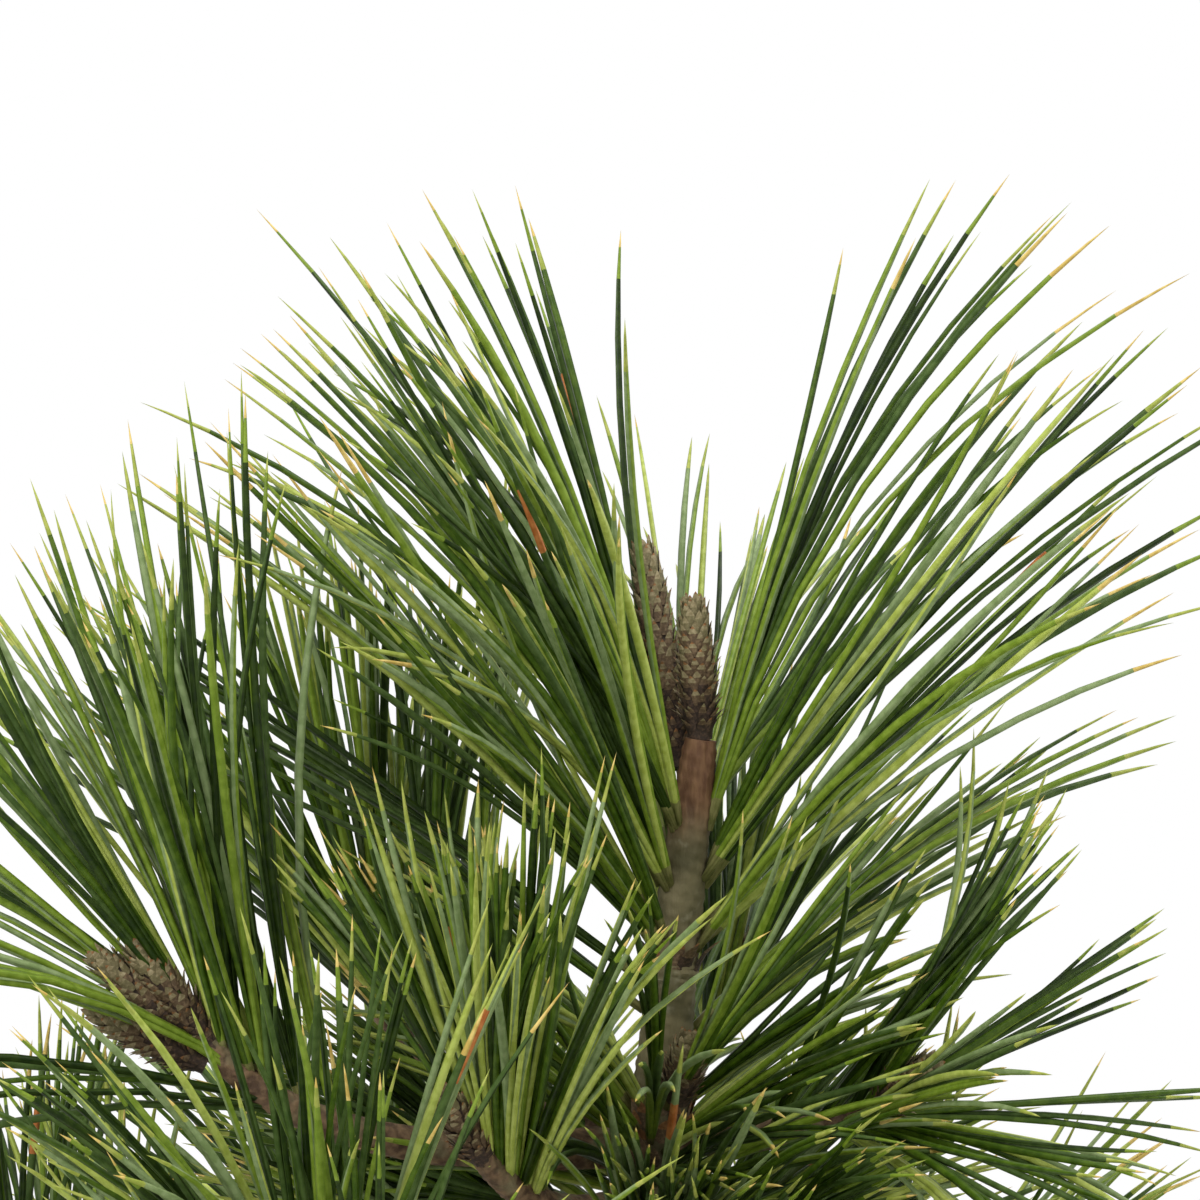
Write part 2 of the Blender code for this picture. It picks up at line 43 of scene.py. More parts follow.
# Camera: a long lens, a little above the leader's end, that looks slightly down on the upper crown. The
# frame is 150 mm wide at the leader.
LOOK_AT = (-0.005, 0.0, 0.295)
LOOK_DOWN = math.radians(4.5)
CAMERA_DISTANCE = 0.62
FRAME_WIDTH = 0.150
SENSOR = 36
camera = bpy.data.objects.new("camera", bpy.data.cameras.new("camera"))
scene.collection.objects.link(camera)
camera.location = (
    LOOK_AT[0],
    LOOK_AT[1] - CAMERA_DISTANCE * math.cos(LOOK_DOWN),
    LOOK_AT[2] + CAMERA_DISTANCE * math.sin(LOOK_DOWN),
)
camera.rotation_euler = (math.pi / 2 - LOOK_DOWN, 0, 0)
camera.data.sensor_width = SENSOR
camera.data.lens = SENSOR * CAMERA_DISTANCE / FRAME_WIDTH
camera.data.clip_start = 0.05
camera.data.clip_end = 20
scene.camera = camera

# Pot: a round nursery pot, injection moulded in one piece from dark plastic, with a stepped rim to lift it
# by, a rounded foot and six drain holes. Its wall is thin and its surface has a fine matt grain.
POT_HEIGHT = 0.130
POT_FOOT_RADIUS = 0.054
POT_WALL_TOP_RADIUS = 0.0690
POT_RIM_RADIUS = 0.075
POT_RIM_FOOT = 0.115
POT_WALL = 0.0018
POT_FLOOR = 0.0024
POT_COLUMNS = 144
DRAIN_HOLES = 6
DRAIN_RADIUS = 0.0045
DRAIN_CIRCLE = 0.040
DRAIN_COLUMNS = 24
MIDDLE = 0.0020  # radius of the small ring that ends a turned solid at its axis


def skin(rings):
    """Closes a stack of rings into one solid: quads between neighbours, and a fan to each end's middle."""
    rows, columns = rings.shape[:2]
    this = np.arange(columns)
    after = (this + 1) % columns
    start = np.arange(rows - 1)[:, None] * columns
    quads = np.stack([start + this, start + after, start + columns + after, start + columns + this], -1)
    last = (rows - 1) * columns
    lower = np.stack([np.full(columns, rows * columns), after, this], -1)
    upper = np.stack([last + this, last + after, np.full(columns, rows * columns + 1)], -1)
    points = np.concatenate([rings.reshape(-1, 3), rings[:1].mean(1), rings[-1:].mean(1)])
    return points, quads.reshape(-1, 4).tolist() + lower.tolist() + upper.tolist()


def turned(profile, columns):
    """Carries each radius and height of a profile once round the Z axis."""
    profile = np.array(profile)
    turn = 2 * np.pi * np.arange(columns) / columns
    radius, height = profile[:, :1], profile[:, 1:]
    return np.stack([radius * np.cos(turn), radius * np.sin(turn), height + 0 * turn], -1)


def joined(solids):
    """Puts several solids, each with its own points and faces, into one list of points and of faces."""
    points, faces, count = [], [], 0
    for own_points, own_faces in solids:
        faces += [[corner + count for corner in face] for face in own_faces]
        points.append(own_points)
        count += len(own_points)
    return np.concatenate(points), faces


def make_piece(name, points, faces, sharp=180):
    """A smooth mesh of the named piece at the origin, with creases where faces meet past an angle."""
    mesh = bpy.data.meshes.new(name)
    mesh.from_pydata(points.tolist(), [], faces)
    mesh.shade_smooth()
    if sharp < 180:
        mesh.set_sharp_from_angle(angle=math.radians(sharp))
    made = bpy.data.objects.new(name, mesh)
    scene.collection.objects.link(made)
    return made


class Value:
    """A shader socket that takes part in sums and products. Each sign adds a Math node to its material."""

    def __init__(self, finish, socket):
        self.finish = finish
        self.socket = socket

    def math(self, operation, first, second):
        return self.finish.node("ShaderNodeMath", {"operation": operation}, {0: first, 1: second})

    def __add__(self, other):
        return self.math("ADD", self, other)

    def __mul__(self, other):
        return self.math("MULTIPLY", self, other)

    __radd__ = __add__
    __rmul__ = __mul__


class Finish:
    """A material in the making. Its patterns lie on Object coordinates, in metres."""

    def __init__(self, name):
        self.material = bpy.data.materials.new(name)
        self.material.use_nodes = True
        self.tree = self.material.node_tree
        self.shader = self.tree.nodes["Principled BSDF"]
        self.place = self.node("ShaderNodeTexCoord", output="Object")

    def feed(self, socket, value):
        if isinstance(value, Value):
            self.tree.links.new(value.socket, socket)
        else:
            socket.default_value = value

    def node(self, kind, settings=None, inputs=None, output=0):
        made = self.tree.nodes.new(kind)
        for setting, value in (settings or {}).items():
            setattr(made, setting, value)
        for name, value in (inputs or {}).items():
            self.feed(made.inputs[name], value)
        return Value(self, made.outputs[output])

    def stretched(self, scale):
        """Object coordinates, multiplied along each axis."""
        return self.node("ShaderNodeMapping", None, {"Vector": self.place, "Scale": scale})

    def noise(self, scale, detail=3.0, place=None):
        inputs = {"Vector": place or self.place, "Scale": scale, "Detail": detail}
        return self.node("ShaderNodeTexNoise", None, inputs)

    def step(self, value, low, high):
        """0 below the low limit, 1 above the high one, and a soft step between."""
        inputs = {"Value": value, "From Min": low, "From Max": high}
        return self.node("ShaderNodeMapRange", {"interpolation_type": "SMOOTHSTEP"}, inputs)

    def height(self):
        """The Z of Object coordinates."""
        return self.node("ShaderNodeSeparateXYZ", None, {"Vector": self.place}, output="Z")

    def mix(self, share, first, second):
        """A colour that goes from the first to the second as the share goes from 0 to 1."""
        colours = [(*c, 1) if isinstance(c, tuple) else c for c in (first, second)]
        inputs = {0: share, 6: colours[0], 7: colours[1]}
        return self.node("ShaderNodeMix", {"data_type": "RGBA"}, inputs, output=2)

    def bump(self, relief, depth, strength=1.0):
        inputs = {"Height": relief, "Distance": depth, "Strength": strength}
        self.feed(self.shader.inputs["Normal"], self.node("ShaderNodeBump", None, inputs))

    def done(self, **sockets):
        """Sets the shader's sockets, spaces written as underscores, and hands over the material."""
        for name, value in sockets.items():
            if isinstance(value, tuple):
                value = (*value, 1)
            self.feed(self.shader.inputs[name.replace("_", " ")], value)
        return self.material


pot_profile = [
    (MIDDLE, 0.0),
    (0.0460, 0.0),
    (POT_FOOT_RADIUS - 0.0022, 0.0),
    (POT_FOOT_RADIUS - 0.0008, 0.0005),
    (POT_FOOT_RADIUS, 0.0018),
    (POT_FOOT_RADIUS + 0.0006, 0.0060),
    (POT_FOOT_RADIUS + 0.0011, 0.0068),
    (0.5 * (POT_FOOT_RADIUS + POT_WALL_TOP_RADIUS), 0.5 * POT_RIM_FOOT),
    (POT_WALL_TOP_RADIUS - 0.0013, POT_RIM_FOOT - 0.0080),
    (POT_WALL_TOP_RADIUS - 0.0006, POT_RIM_FOOT - 0.0074),
    (POT_WALL_TOP_RADIUS, POT_RIM_FOOT - 0.0010),
    (POT_WALL_TOP_RADIUS + 0.0010, POT_RIM_FOOT),
    (POT_RIM_RADIUS - 0.0020, POT_RIM_FOOT),
    (POT_RIM_RADIUS - 0.0012, POT_RIM_FOOT + 0.0008),
    (POT_RIM_RADIUS - 0.0004, POT_HEIGHT - 0.0042),
    (POT_RIM_RADIUS, POT_HEIGHT - 0.0034),
    (POT_RIM_RADIUS, POT_HEIGHT - 0.0010),
    (POT_RIM_RADIUS - 0.0008, POT_HEIGHT),
    (POT_RIM_RADIUS - 0.0022, POT_HEIGHT),
    (POT_RIM_RADIUS - 0.0030, POT_HEIGHT - 0.0008),
    (POT_RIM_RADIUS - 0.0034, POT_HEIGHT - 0.0060),
    (POT_WALL_TOP_RADIUS - POT_WALL + 0.0006, POT_RIM_FOOT + 0.0010),
    (POT_WALL_TOP_RADIUS - POT_WALL, POT_RIM_FOOT - 0.0020),
    (POT_FOOT_RADIUS - POT_WALL, POT_FLOOR),
    (MIDDLE, POT_FLOOR),
]
pot = make_piece("nursery_pot", *skin(turned(pot_profile, POT_COLUMNS)))
hole_turns = 2 * np.pi * np.arange(DRAIN_HOLES) / DRAIN_HOLES
drain = turned([(DRAIN_RADIUS, -POT_FLOOR), (DRAIN_RADIUS, 2 * POT_FLOOR)], DRAIN_COLUMNS)
hole_places = DRAIN_CIRCLE * np.stack([np.cos(hole_turns), np.sin(hole_turns), 0 * hole_turns], -1)
drains = make_piece("drains", *joined([skin(drain + place) for place in hole_places]))
bore = pot.modifiers.new("bore", "BOOLEAN")
bore.operation = "DIFFERENCE"
bore.object = drains
bore.solver = "EXACT"
bpy.context.view_layer.update()
bored = bpy.data.meshes.new_from_object(pot.evaluated_get(bpy.context.evaluated_depsgraph_get()))
pot.modifiers.clear()
pot.data = bored
bpy.data.objects.remove(drains)
pot.data.shade_smooth()
pot.data.set_sharp_from_angle(angle=math.radians(40))

plastic = Finish("pot_plastic_grained")
scuffs = plastic.step(plastic.noise(55, 6, plastic.stretched((1, 1, 0.25))), 0.52, 0.72)
dust = plastic.step(plastic.height(), 0.022, 0.0) * plastic.noise(160, 4)
grain = plastic.noise(5200, 2)
plastic.bump(grain, 0.00012, 0.35)
base = plastic.mix(scuffs, (0.021, 0.021, 0.022), (0.034, 0.034, 0.034))
pot.data.materials.append(plastic.done(
    Base_Color=plastic.mix(dust, base, (0.12, 0.095, 0.07)),
    Roughness=0.42 + 0.16 * scuffs + 0.25 * dust,
    Specular_IOR_Level=0.45,
))
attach(pot, "root")
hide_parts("pot")

# Soil: peat compost, slightly mounded, with a mulch of broken pine bark and loose crumbs on it. It fills the
# pot to a finger below the rim.
SOIL_TOP = 0.118
SOIL_EDGE_DROP = 0.0045
SOIL_LEVEL_RADIUS = 0.014
SOIL_SLOPE_WIDTH = 0.052
SOIL_COARSE_RELIEF = 0.00055
SOIL_COARSE_WAVE = 0.018
SOIL_FINE_RELIEF = 0.00032
SOIL_FINE_WAVE = 0.004
SOIL_CLEAR = 0.0003
SOIL_RINGS = 60
SOIL_COLUMNS = 150
CHIPS = 330
CHIP_SIZES = (0.004, 0.011)
CRUMBS = 900
CRUMB_SIZES = (0.0012, 0.0035)
CHIP_TILT = 0.45
CHIPS_OFF_TRUNK = 0.010
CRUMBS_OFF_TRUNK = 0.008
CHIPS_OFF_WALL = 0.003


def ripples(places, wave, count, seed):
    """Uneven relief from about -1 to 1: a sum of cosines in scattered directions, longest wave first."""
    chance = np.random.default_rng(seed)
    total = np.zeros(places.shape[:-1])
    for share in np.linspace(1, 0.25, count):
        way = chance.normal(size=places.shape[-1])
        way *= 2 * np.pi / (wave * share * np.linalg.norm(way))
        total += share * np.cos(places @ way + chance.uniform(0, 2 * np.pi))
    return total / math.sqrt(count)


def soil_height(across_pot):
    """The soil's level at a place seen from above: level in the middle, lower and rougher at the wall."""
    out = np.linalg.norm(across_pot, axis=-1)
    drop = SOIL_EDGE_DROP * np.clip((out - SOIL_LEVEL_RADIUS) / SOIL_SLOPE_WIDTH, 0, 1) ** 2
    rough = np.clip((out - 0.006) / 0.02, 0.15, 1)
    coarse = SOIL_COARSE_RELIEF * ripples(across_pot, SOIL_COARSE_WAVE, 14, 41)
    fine = SOIL_FINE_RELIEF * ripples(across_pot, SOIL_FINE_WAVE, 18, 42)
    return SOIL_TOP - drop + rough * (coarse + fine)


taper = (POT_WALL_TOP_RADIUS - POT_FOOT_RADIUS) / POT_RIM_FOOT
soil_foot = POT_FOOT_RADIUS - POT_WALL - 2 * SOIL_CLEAR
soil_edge = soil_foot + taper * (SOIL_TOP - SOIL_EDGE_DROP)
soil_rings = turned(
    [(MIDDLE, POT_FLOOR + SOIL_CLEAR), (soil_foot, POT_FLOOR + SOIL_CLEAR)]
    + [(radius, SOIL_TOP) for radius in np.linspace(soil_edge, 0.0015, SOIL_RINGS)],
    SOIL_COLUMNS,
)
soil_rings[2:, :, 2] = soil_height(soil_rings[2:, :, :2])
soil = make_piece("compost", *skin(soil_rings), sharp=60)

compost = Finish("compost_moist")
clumps = compost.noise(260, 8)
fibres = compost.noise(1400, 5, compost.stretched((1, 0.35, 1)))
compost.bump(clumps + 0.6 * fibres, 0.0012, 0.9)
peat = compost.step(clumps + 0.3 * fibres, 0.5, 0.9)
soil.data.materials.append(compost.done(
    Base_Color=compost.mix(peat, (0.018, 0.012, 0.008), (0.075, 0.045, 0.026)),
    Roughness=0.86 + 0.12 * fibres,
))
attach(soil, "root")
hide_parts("soil")


def spins(angles, axis):
    """A turn matrix for each angle, about the axis of that number: 0 is X, 1 is Y and 2 is Z."""
    after, last = (axis + 1) % 3, (axis + 2) % 3
    made = np.zeros((len(angles), 3, 3))
    made[:, axis, axis] = 1
    made[:, after, after] = np.cos(angles)
    made[:, last, last] = np.cos(angles)
    made[:, last, after] = np.sin(angles)
    made[:, after, last] = -np.sin(angles)
    return made


def scattered_chips(count, sizes, seed, keep_out):
    """Boxes with shaken corners, flat side down, strewn evenly over the soil and turned at random. Their
    middles stay outside the radius keep_out, where the trunk stands."""
    chance = np.random.default_rng(seed)
    reach = soil_edge - CHIPS_OFF_WALL
    out = np.sqrt(chance.uniform((keep_out / reach) ** 2, 1, count)) * reach
    turn = chance.uniform(0, 2 * np.pi, count)
    places = np.stack([out * np.cos(turn), out * np.sin(turn)], -1)
    size = np.exp(chance.uniform(np.log(sizes[0]), np.log(sizes[1]), (count, 1)))
    half_width = chance.uniform(0.22, 0.42, count)
    half_thickness = chance.uniform(0.08, 0.2, count)
    size = size * np.stack([np.full(count, 0.5), half_width, half_thickness], -1)
    cube = np.array([(x, y, z) for z in (-1, 1) for x, y in ((-1, -1), (1, -1), (1, 1), (-1, 1))])
    corners = cube * size[:, None, :] * chance.uniform(0.62, 1.12, (count, 8, 3))
    yaw, pitch, roll = chance.uniform(-1, 1, (3, count)) * np.array([[np.pi], [CHIP_TILT], [CHIP_TILT]])
    spin = spins(yaw, 2) @ spins(pitch, 1) @ spins(roll, 0)
    corners = np.einsum("nij,ncj->nci", spin, corners)
    corners[:, :, :2] += places[:, None, :]
    corners[:, :, 2] += (soil_height(places) + 0.35 * size[:, 2])[:, None]
    box = np.array([(0, 3, 2, 1), (4, 5, 6, 7), (0, 1, 5, 4), (1, 2, 6, 5), (2, 3, 7, 6), (3, 0, 4, 7)])
    faces = box[None] + 8 * np.arange(count)[:, None, None]
    return corners.reshape(-1, 3), faces.reshape(-1, 4).tolist()


chips = make_piece("bark_mulch", *scattered_chips(CHIPS, CHIP_SIZES, 43, CHIPS_OFF_TRUNK), sharp=25)
mulch = Finish("mulch_bark")
flakes = mulch.noise(420, 5, mulch.stretched((1, 1, 2.5)))
mulch.bump(mulch.noise(1800, 4), 0.0006, 0.8)
chips.data.materials.append(mulch.done(
    Base_Color=mulch.mix(mulch.step(flakes, 0.35, 0.7), (0.045, 0.022, 0.012), (0.21, 0.11, 0.06)),
    Roughness=0.75 + 0.2 * flakes,
))
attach(chips, "root")

crumbs = make_piece("compost_crumbs", *scattered_chips(CRUMBS, CRUMB_SIZES, 44, CRUMBS_OFF_TRUNK), sharp=40)
crumbs.data.materials.append(compost.material)
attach(crumbs, "root")

# Trunk: the young leader, one limb from the soil to the foot of its end candle. Its bark is grey-brown and
# furrowed at the foot, olive and tan at last year's growth, and red-brown under the candle.
LEADER_TIP = 0.2775
LEADER_LEAN = 0.0076
LEADER_SWAY = 0.0018
LEADER_TIP_RADIUS = 0.0019
LEADER_TAPER = 0.0034
ROOT_FLARE = 0.0032
ROOT_FLARE_HEIGHT = 0.0045
LOW_WHORL = 0.163
HIGH_WHORL = 0.225
WHORL_SWELLING = 0.0006
WHORL_SWELLING_HEIGHT = 0.005
BUD_SCAR = 0.2485
ROOT_LOBES = 5
ROOT_LOBE_SHARE = 0.16
TRUNK_SUNK = 0.002
TRUNK_RINGS = 420
TRUNK_COLUMNS = 48
YOUNG_BARK_FROM = 0.232
BARK_AGES_WITHIN = 0.09
CUSHION_HEIGHT = 0.00016
PLATE_HEIGHT = 0.00030
CRACK_HEIGHT = 0.00012
SCAR_RIDGE = 0.00022
SCAR_RIDGE_WIDTH = 0.0008
SCAR_RINGS = 0.00016
SCAR_RINGS_WIDTH = 0.0024
SCAR_RINGS_WAVE = 6500
RIGHT = np.array([1.0, 0.0, 0.0])
UP = np.array([0.0, 0.0, 1.0])


def unit(vectors):
    """Each vector of an array at length 1."""
    return vectors / np.linalg.norm(vectors, axis=-1, keepdims=True)


def leader_point(height):
    """The leader's axis: it leans right as the square of its height, and sways off that line once."""
    height = np.asarray(height, float)
    share = (height - SOIL_TOP) / (LEADER_TIP - SOIL_TOP)
    lean = LEADER_LEAN * share**2 - LEADER_SWAY * np.sin(np.pi * share)
    return np.stack([lean, 0.5 * LEADER_SWAY * np.sin(2 * np.pi * share), height], -1)


def leader_radius(height):
    """The leader's taper, with a flare at the soil and a swelling at each whorl."""
    share = (height - SOIL_TOP) / (LEADER_TIP - SOIL_TOP)
    bark = LEADER_TIP_RADIUS + LEADER_TAPER * np.maximum(1 - share, 0) ** 0.6
    bark = bark + ROOT_FLARE * np.exp(-(height - SOIL_TOP) / ROOT_FLARE_HEIGHT)
    for whorl in (LOW_WHORL, HIGH_WHORL):
        bark = bark + WHORL_SWELLING * np.exp(-(((height - whorl) / WHORL_SWELLING_HEIGHT) ** 2))
    return bark


def leader_axis(height):
    """The leader's direction of growth."""
    return unit(leader_point(height + 0.001) - leader_point(height - 0.001))


def along(path, radii, reference, columns):
    """Carries a circle along a path, square to it. The reference is a direction that the path never takes."""
    tangent = unit(np.gradient(path, axis=0))
    side = unit(reference - tangent * (tangent @ reference)[:, None])
    other = np.cross(tangent, side)
    turn = 2 * np.pi * np.arange(columns)[None, :, None] / columns
    ring = side[:, None] * np.cos(turn) + other[:, None] * np.sin(turn)
    return path[:, None] + ring * radii[..., None]


def bark_relief(distance, turn, age, seed):
    """How far bark stands out, from its place along and round a limb: needle cushions in two crossing
    spirals on young wood, and lengthwise furrows between plates on old wood."""
    spirals = np.cos(5 * turn + 1500 * distance) * np.cos(3 * turn - 2300 * distance)
    cushions = np.clip(spirals, -0.2, 1) * CUSHION_HEIGHT
    around = np.stack(np.broadcast_arrays(np.cos(turn), np.sin(turn), 130 * distance), -1)
    cracks = CRACK_HEIGHT * ripples(around, 0.5, 16, seed + 1)
    plates = PLATE_HEIGHT * ripples(around, 1.6, 16, seed) + cracks
    return cushions * (1 - age) + plates * (0.25 + 0.75 * age)


heights = np.linspace(SOIL_TOP - TRUNK_SUNK, LEADER_TIP, TRUNK_RINGS)
rows = heights[:, None]
trunk_turn = 2 * np.pi * np.arange(TRUNK_COLUMNS)[None, :] / TRUNK_COLUMNS
age = np.clip((YOUNG_BARK_FROM - rows) / BARK_AGES_WITHIN, 0, 1)
girth = leader_radius(np.maximum(rows, SOIL_TOP))
flare = ROOT_LOBE_SHARE * np.exp(-(rows - SOIL_TOP) / ROOT_FLARE_HEIGHT)
lobes = 1 + flare * np.cos(ROOT_LOBES * trunk_turn)
ridge = SCAR_RIDGE * np.exp(-(((rows - BUD_SCAR) / SCAR_RIDGE_WIDTH) ** 2))
rings_fade = np.exp(-(((rows - BUD_SCAR) / SCAR_RINGS_WIDTH) ** 2))
scar = ridge + SCAR_RINGS * np.cos(rows * SCAR_RINGS_WAVE) * rings_fade
trunk_radii = girth * lobes + bark_relief(rows, trunk_turn, age, 51) + scar
trunk_rings = along(leader_point(heights), trunk_radii, RIGHT, TRUNK_COLUMNS)
trunk = make_piece("trunk_bark", *skin(trunk_rings), sharp=60)

bark = Finish("bark_young")
streaks = bark.noise(900, 6, bark.stretched((1, 1, 0.22)))
blotches = bark.noise(190, 4)
old = bark.step(bark.height(), 0.215, 0.135)
fresh = bark.step(bark.height(), 0.263, 0.271)
tan = bark.mix(bark.step(blotches, 0.35, 0.65), (0.080, 0.070, 0.030), (0.165, 0.140, 0.070))
aged = bark.mix(bark.step(streaks, 0.4, 0.66), (0.062, 0.045, 0.032), (0.185, 0.150, 0.115))
red = bark.mix(bark.step(streaks, 0.3, 0.7), (0.105, 0.046, 0.022), (0.215, 0.115, 0.055))
lichen = bark.step(bark.noise(330, 5), 0.60, 0.72)
bark_colour = bark.mix(fresh, bark.mix(old, tan, aged), red)
bark.bump(streaks + 0.5 * blotches, 0.0005, 0.85)
bark_material = bark.done(
    Base_Color=bark.mix(0.35 * lichen, bark_colour, (0.30, 0.29, 0.20)),
    Roughness=0.62 + 0.25 * streaks,
    Specular_IOR_Level=0.35,
)
trunk.data.materials.append(bark_material)
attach(trunk, "root")
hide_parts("trunk")

# Side shoots: two whorls of boughs, each one year's growth. A bough is bare at its foot and goes on as the
# stem inside its brush of needles, up to its end bud.
KNEE_OUT = 0.82
KNEE_UP = 0.06
KNEE_SIDEWAYS = 0.08
SHOOT_TIP_RADIUS = 0.0015
COLLAR = 0.12
COLLAR_LENGTH = 0.08
BOUGH_FROM = 0.02
BOUGH_RINGS = 130
BOUGH_COLUMNS = 24
BOUGH_RELIEF = 0.8
UPPER_SHOOTS = 5
# Height is on the leader, bare is the share without needles, and lift is how strongly needles turn up
Shoot = namedtuple("Shoot", "name height compass reach rise bare radius needles length lift seed")
SHOOTS = [
    Shoot("left", 0.2265, 210, 0.062, 0.018, 0.36, 0.0026, 56, 0.086, 1.00, 11),
    Shoot("front", 0.2200, 241, 0.042, 0.012, 0.38, 0.0021, 34, 0.054, 0.80, 12),
    Shoot("right", 0.2270, 350, 0.028, 0.005, 0.30, 0.0021, 46, 0.053, 0.00, 13),
    Shoot("back_right", 0.2290, 76, 0.044, 0.010, 0.36, 0.0022, 38, 0.056, 0.45, 14),
    Shoot("back_left", 0.2260, 136, 0.052, 0.016, 0.36, 0.0025, 46, 0.074, 0.60, 15),
    Shoot("low_front_left", 0.1655, 237, 0.070, 0.050, 0.46, 0.0026, 50, 0.070, 0.70, 21),
    Shoot("low_left", 0.1605, 182, 0.080, 0.032, 0.46, 0.0027, 48, 0.074, 0.70, 22),
    Shoot("low_front_right", 0.1620, 299, 0.058, 0.016, 0.42, 0.0025, 42, 0.058, 0.10, 23),
    Shoot("low_right", 0.1660, 2, 0.054, 0.006, 0.40, 0.0025, 42, 0.056, 0.00, 24),
    Shoot("low_back_right", 0.1610, 60, 0.064, 0.022, 0.42, 0.0025, 44, 0.066, 0.20, 25),
    Shoot("low_back_left", 0.1645, 122, 0.070, 0.030, 0.43, 0.0026, 46, 0.072, 0.40, 26),
]


def compass_direction(degrees):
    """The level unit vector at a compass angle, which turns from right over back."""
    turn = np.radians(degrees)
    return np.stack([np.cos(turn), np.sin(turn), 0 * turn], -1)


def shoot_path(shoot, share):
    """A side shoot's axis: a curve that leaves the leader nearly level and turns up at its end."""
    foot, outward = leader_point(shoot.height), compass_direction(shoot.compass)
    sideways = np.cross(UP, outward)
    knee = foot + (outward * KNEE_OUT + sideways * KNEE_SIDEWAYS) * shoot.reach + UP * KNEE_UP * shoot.rise
    tip = foot + outward * shoot.reach + UP * shoot.rise
    share = np.asarray(share, float)[..., None]
    return foot * (1 - share) ** 2 + knee * 2 * share * (1 - share) + tip * share**2


def shoot_tangent(shoot, share):
    """The direction in which a side shoot grows."""
    return unit(shoot_path(shoot, share + 0.01) - shoot_path(shoot, share - 0.01))


def shoot_radius(shoot, share):
    """The taper of a side shoot, with a collar where it leaves the leader."""
    foot_radius = shoot.radius * (1 + COLLAR * np.exp(-share / COLLAR_LENGTH))
    return foot_radius * (1 - share) + SHOOT_TIP_RADIUS * share


def bough_solid(shoot):
    """A side shoot's bark from inside the leader to its tip."""
    share = np.linspace(BOUGH_FROM, 1, BOUGH_RINGS)
    turn = 2 * np.pi * np.arange(BOUGH_COLUMNS)[None, :] / BOUGH_COLUMNS
    distance = share * np.linalg.norm(shoot_path(shoot, 1.0) - shoot_path(shoot, 0.0))
    age = np.clip(0.9 - 1.6 * share, 0, 1)[:, None]
    relief = BOUGH_RELIEF * bark_relief(distance[:, None], turn, age, shoot.seed)
    sideways = np.cross(UP, compass_direction(shoot.compass))
    radii = shoot_radius(shoot, share)[:, None] + relief
    return skin(along(shoot_path(shoot, share), radii, sideways, BOUGH_COLUMNS))


boughs = make_piece("boughs_bark", *joined([bough_solid(shoot) for shoot in SHOOTS]), sharp=60)
limb = Finish("bark_boughs")
limb_streaks = limb.noise(800, 6)
limb_blotches = limb.noise(230, 4)
limb.bump(limb_streaks + 0.4 * limb_blotches, 0.0005, 0.85)
limb_brown = limb.mix(limb.step(limb_streaks, 0.35, 0.68), (0.072, 0.040, 0.022), (0.20, 0.125, 0.066))
boughs.data.materials.append(limb.done(
    Base_Color=limb.mix(limb.step(limb_blotches, 0.5, 0.7), limb_brown, (0.17, 0.145, 0.075)),
    Roughness=0.66 + 0.22 * limb_streaks,
    Specular_IOR_Level=0.35,
))
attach(boughs, "root")
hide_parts(*[f"bough_{shoot.name}" for shoot in SHOOTS])

# Candles and buds: each is a core wrapped in papery bracts that stand in a spiral, brown and dark at the
# foot, tan higher up, with tips that curl away. Old ones leave dry bracts at the whorls.
CANDLE_RADIUS = 0.0022
CANDLE_WAY = np.array([-0.001, 0, 0.0178])
SIDE_CANDLE_FORK = 0.2735
SIDE_CANDLE_COMPASS = 125
SIDE_CANDLE_STALK = 0.0035
SIDE_CANDLE_TIP = np.array([0.0002, 0.0115, 0.3025])
SMALL_CANDLE_FOOT = 0.2325
SMALL_CANDLE_COMPASS = 297
SMALL_CANDLE_CLEAR = 0.0013
SMALL_CANDLE_LEAN = 0.35
SMALL_CANDLE_LENGTH = 0.009
# lean to the left, length of the stalk, seed
LEFT_CANDLES = ((0.30, 0.0050, 66), (1.10, 0.0015, 67))
LEFT_CANDLE_LENGTH = 0.015
LEFT_CANDLE_BRACTS = 130
BUD_LENGTH = 0.010
BUD_RADIUS = 0.0021
BUD_BRACTS_PER_METRE = 9000
BUD_BRACT_LENGTH = 0.0027
CANDLE_BRACT_LENGTH = 0.0028
BRACT_WIDTH = 0.00062
BRACT_LIFT = 0.50
# height on the leader, reach, number of bracts, seed
COLLARS = ((HIGH_WHORL, 0.007, 46, 71), (LOW_WHORL, 0.008, 46, 72), (BUD_SCAR, 0.002, 12, 73))
COLLAR_BRACT_LENGTH = 0.0046
COLLAR_BRACT_WIDTH = 0.0011
COLLAR_GIRTH = 1.12
BRACT_SIDE = np.array([0.3, 0.9, 0.1])
CORE_SIDE = np.array([0.31, 0.94, 0.12])
CORE_RINGS = 12
CORE_COLUMNS = 10
GOLDEN_TURN = math.radians(137.508)
DARK_BRACT, BROWN_BRACT, OLIVE_BRACT, PALE_BRACT, RUST_BRACT = range(5)


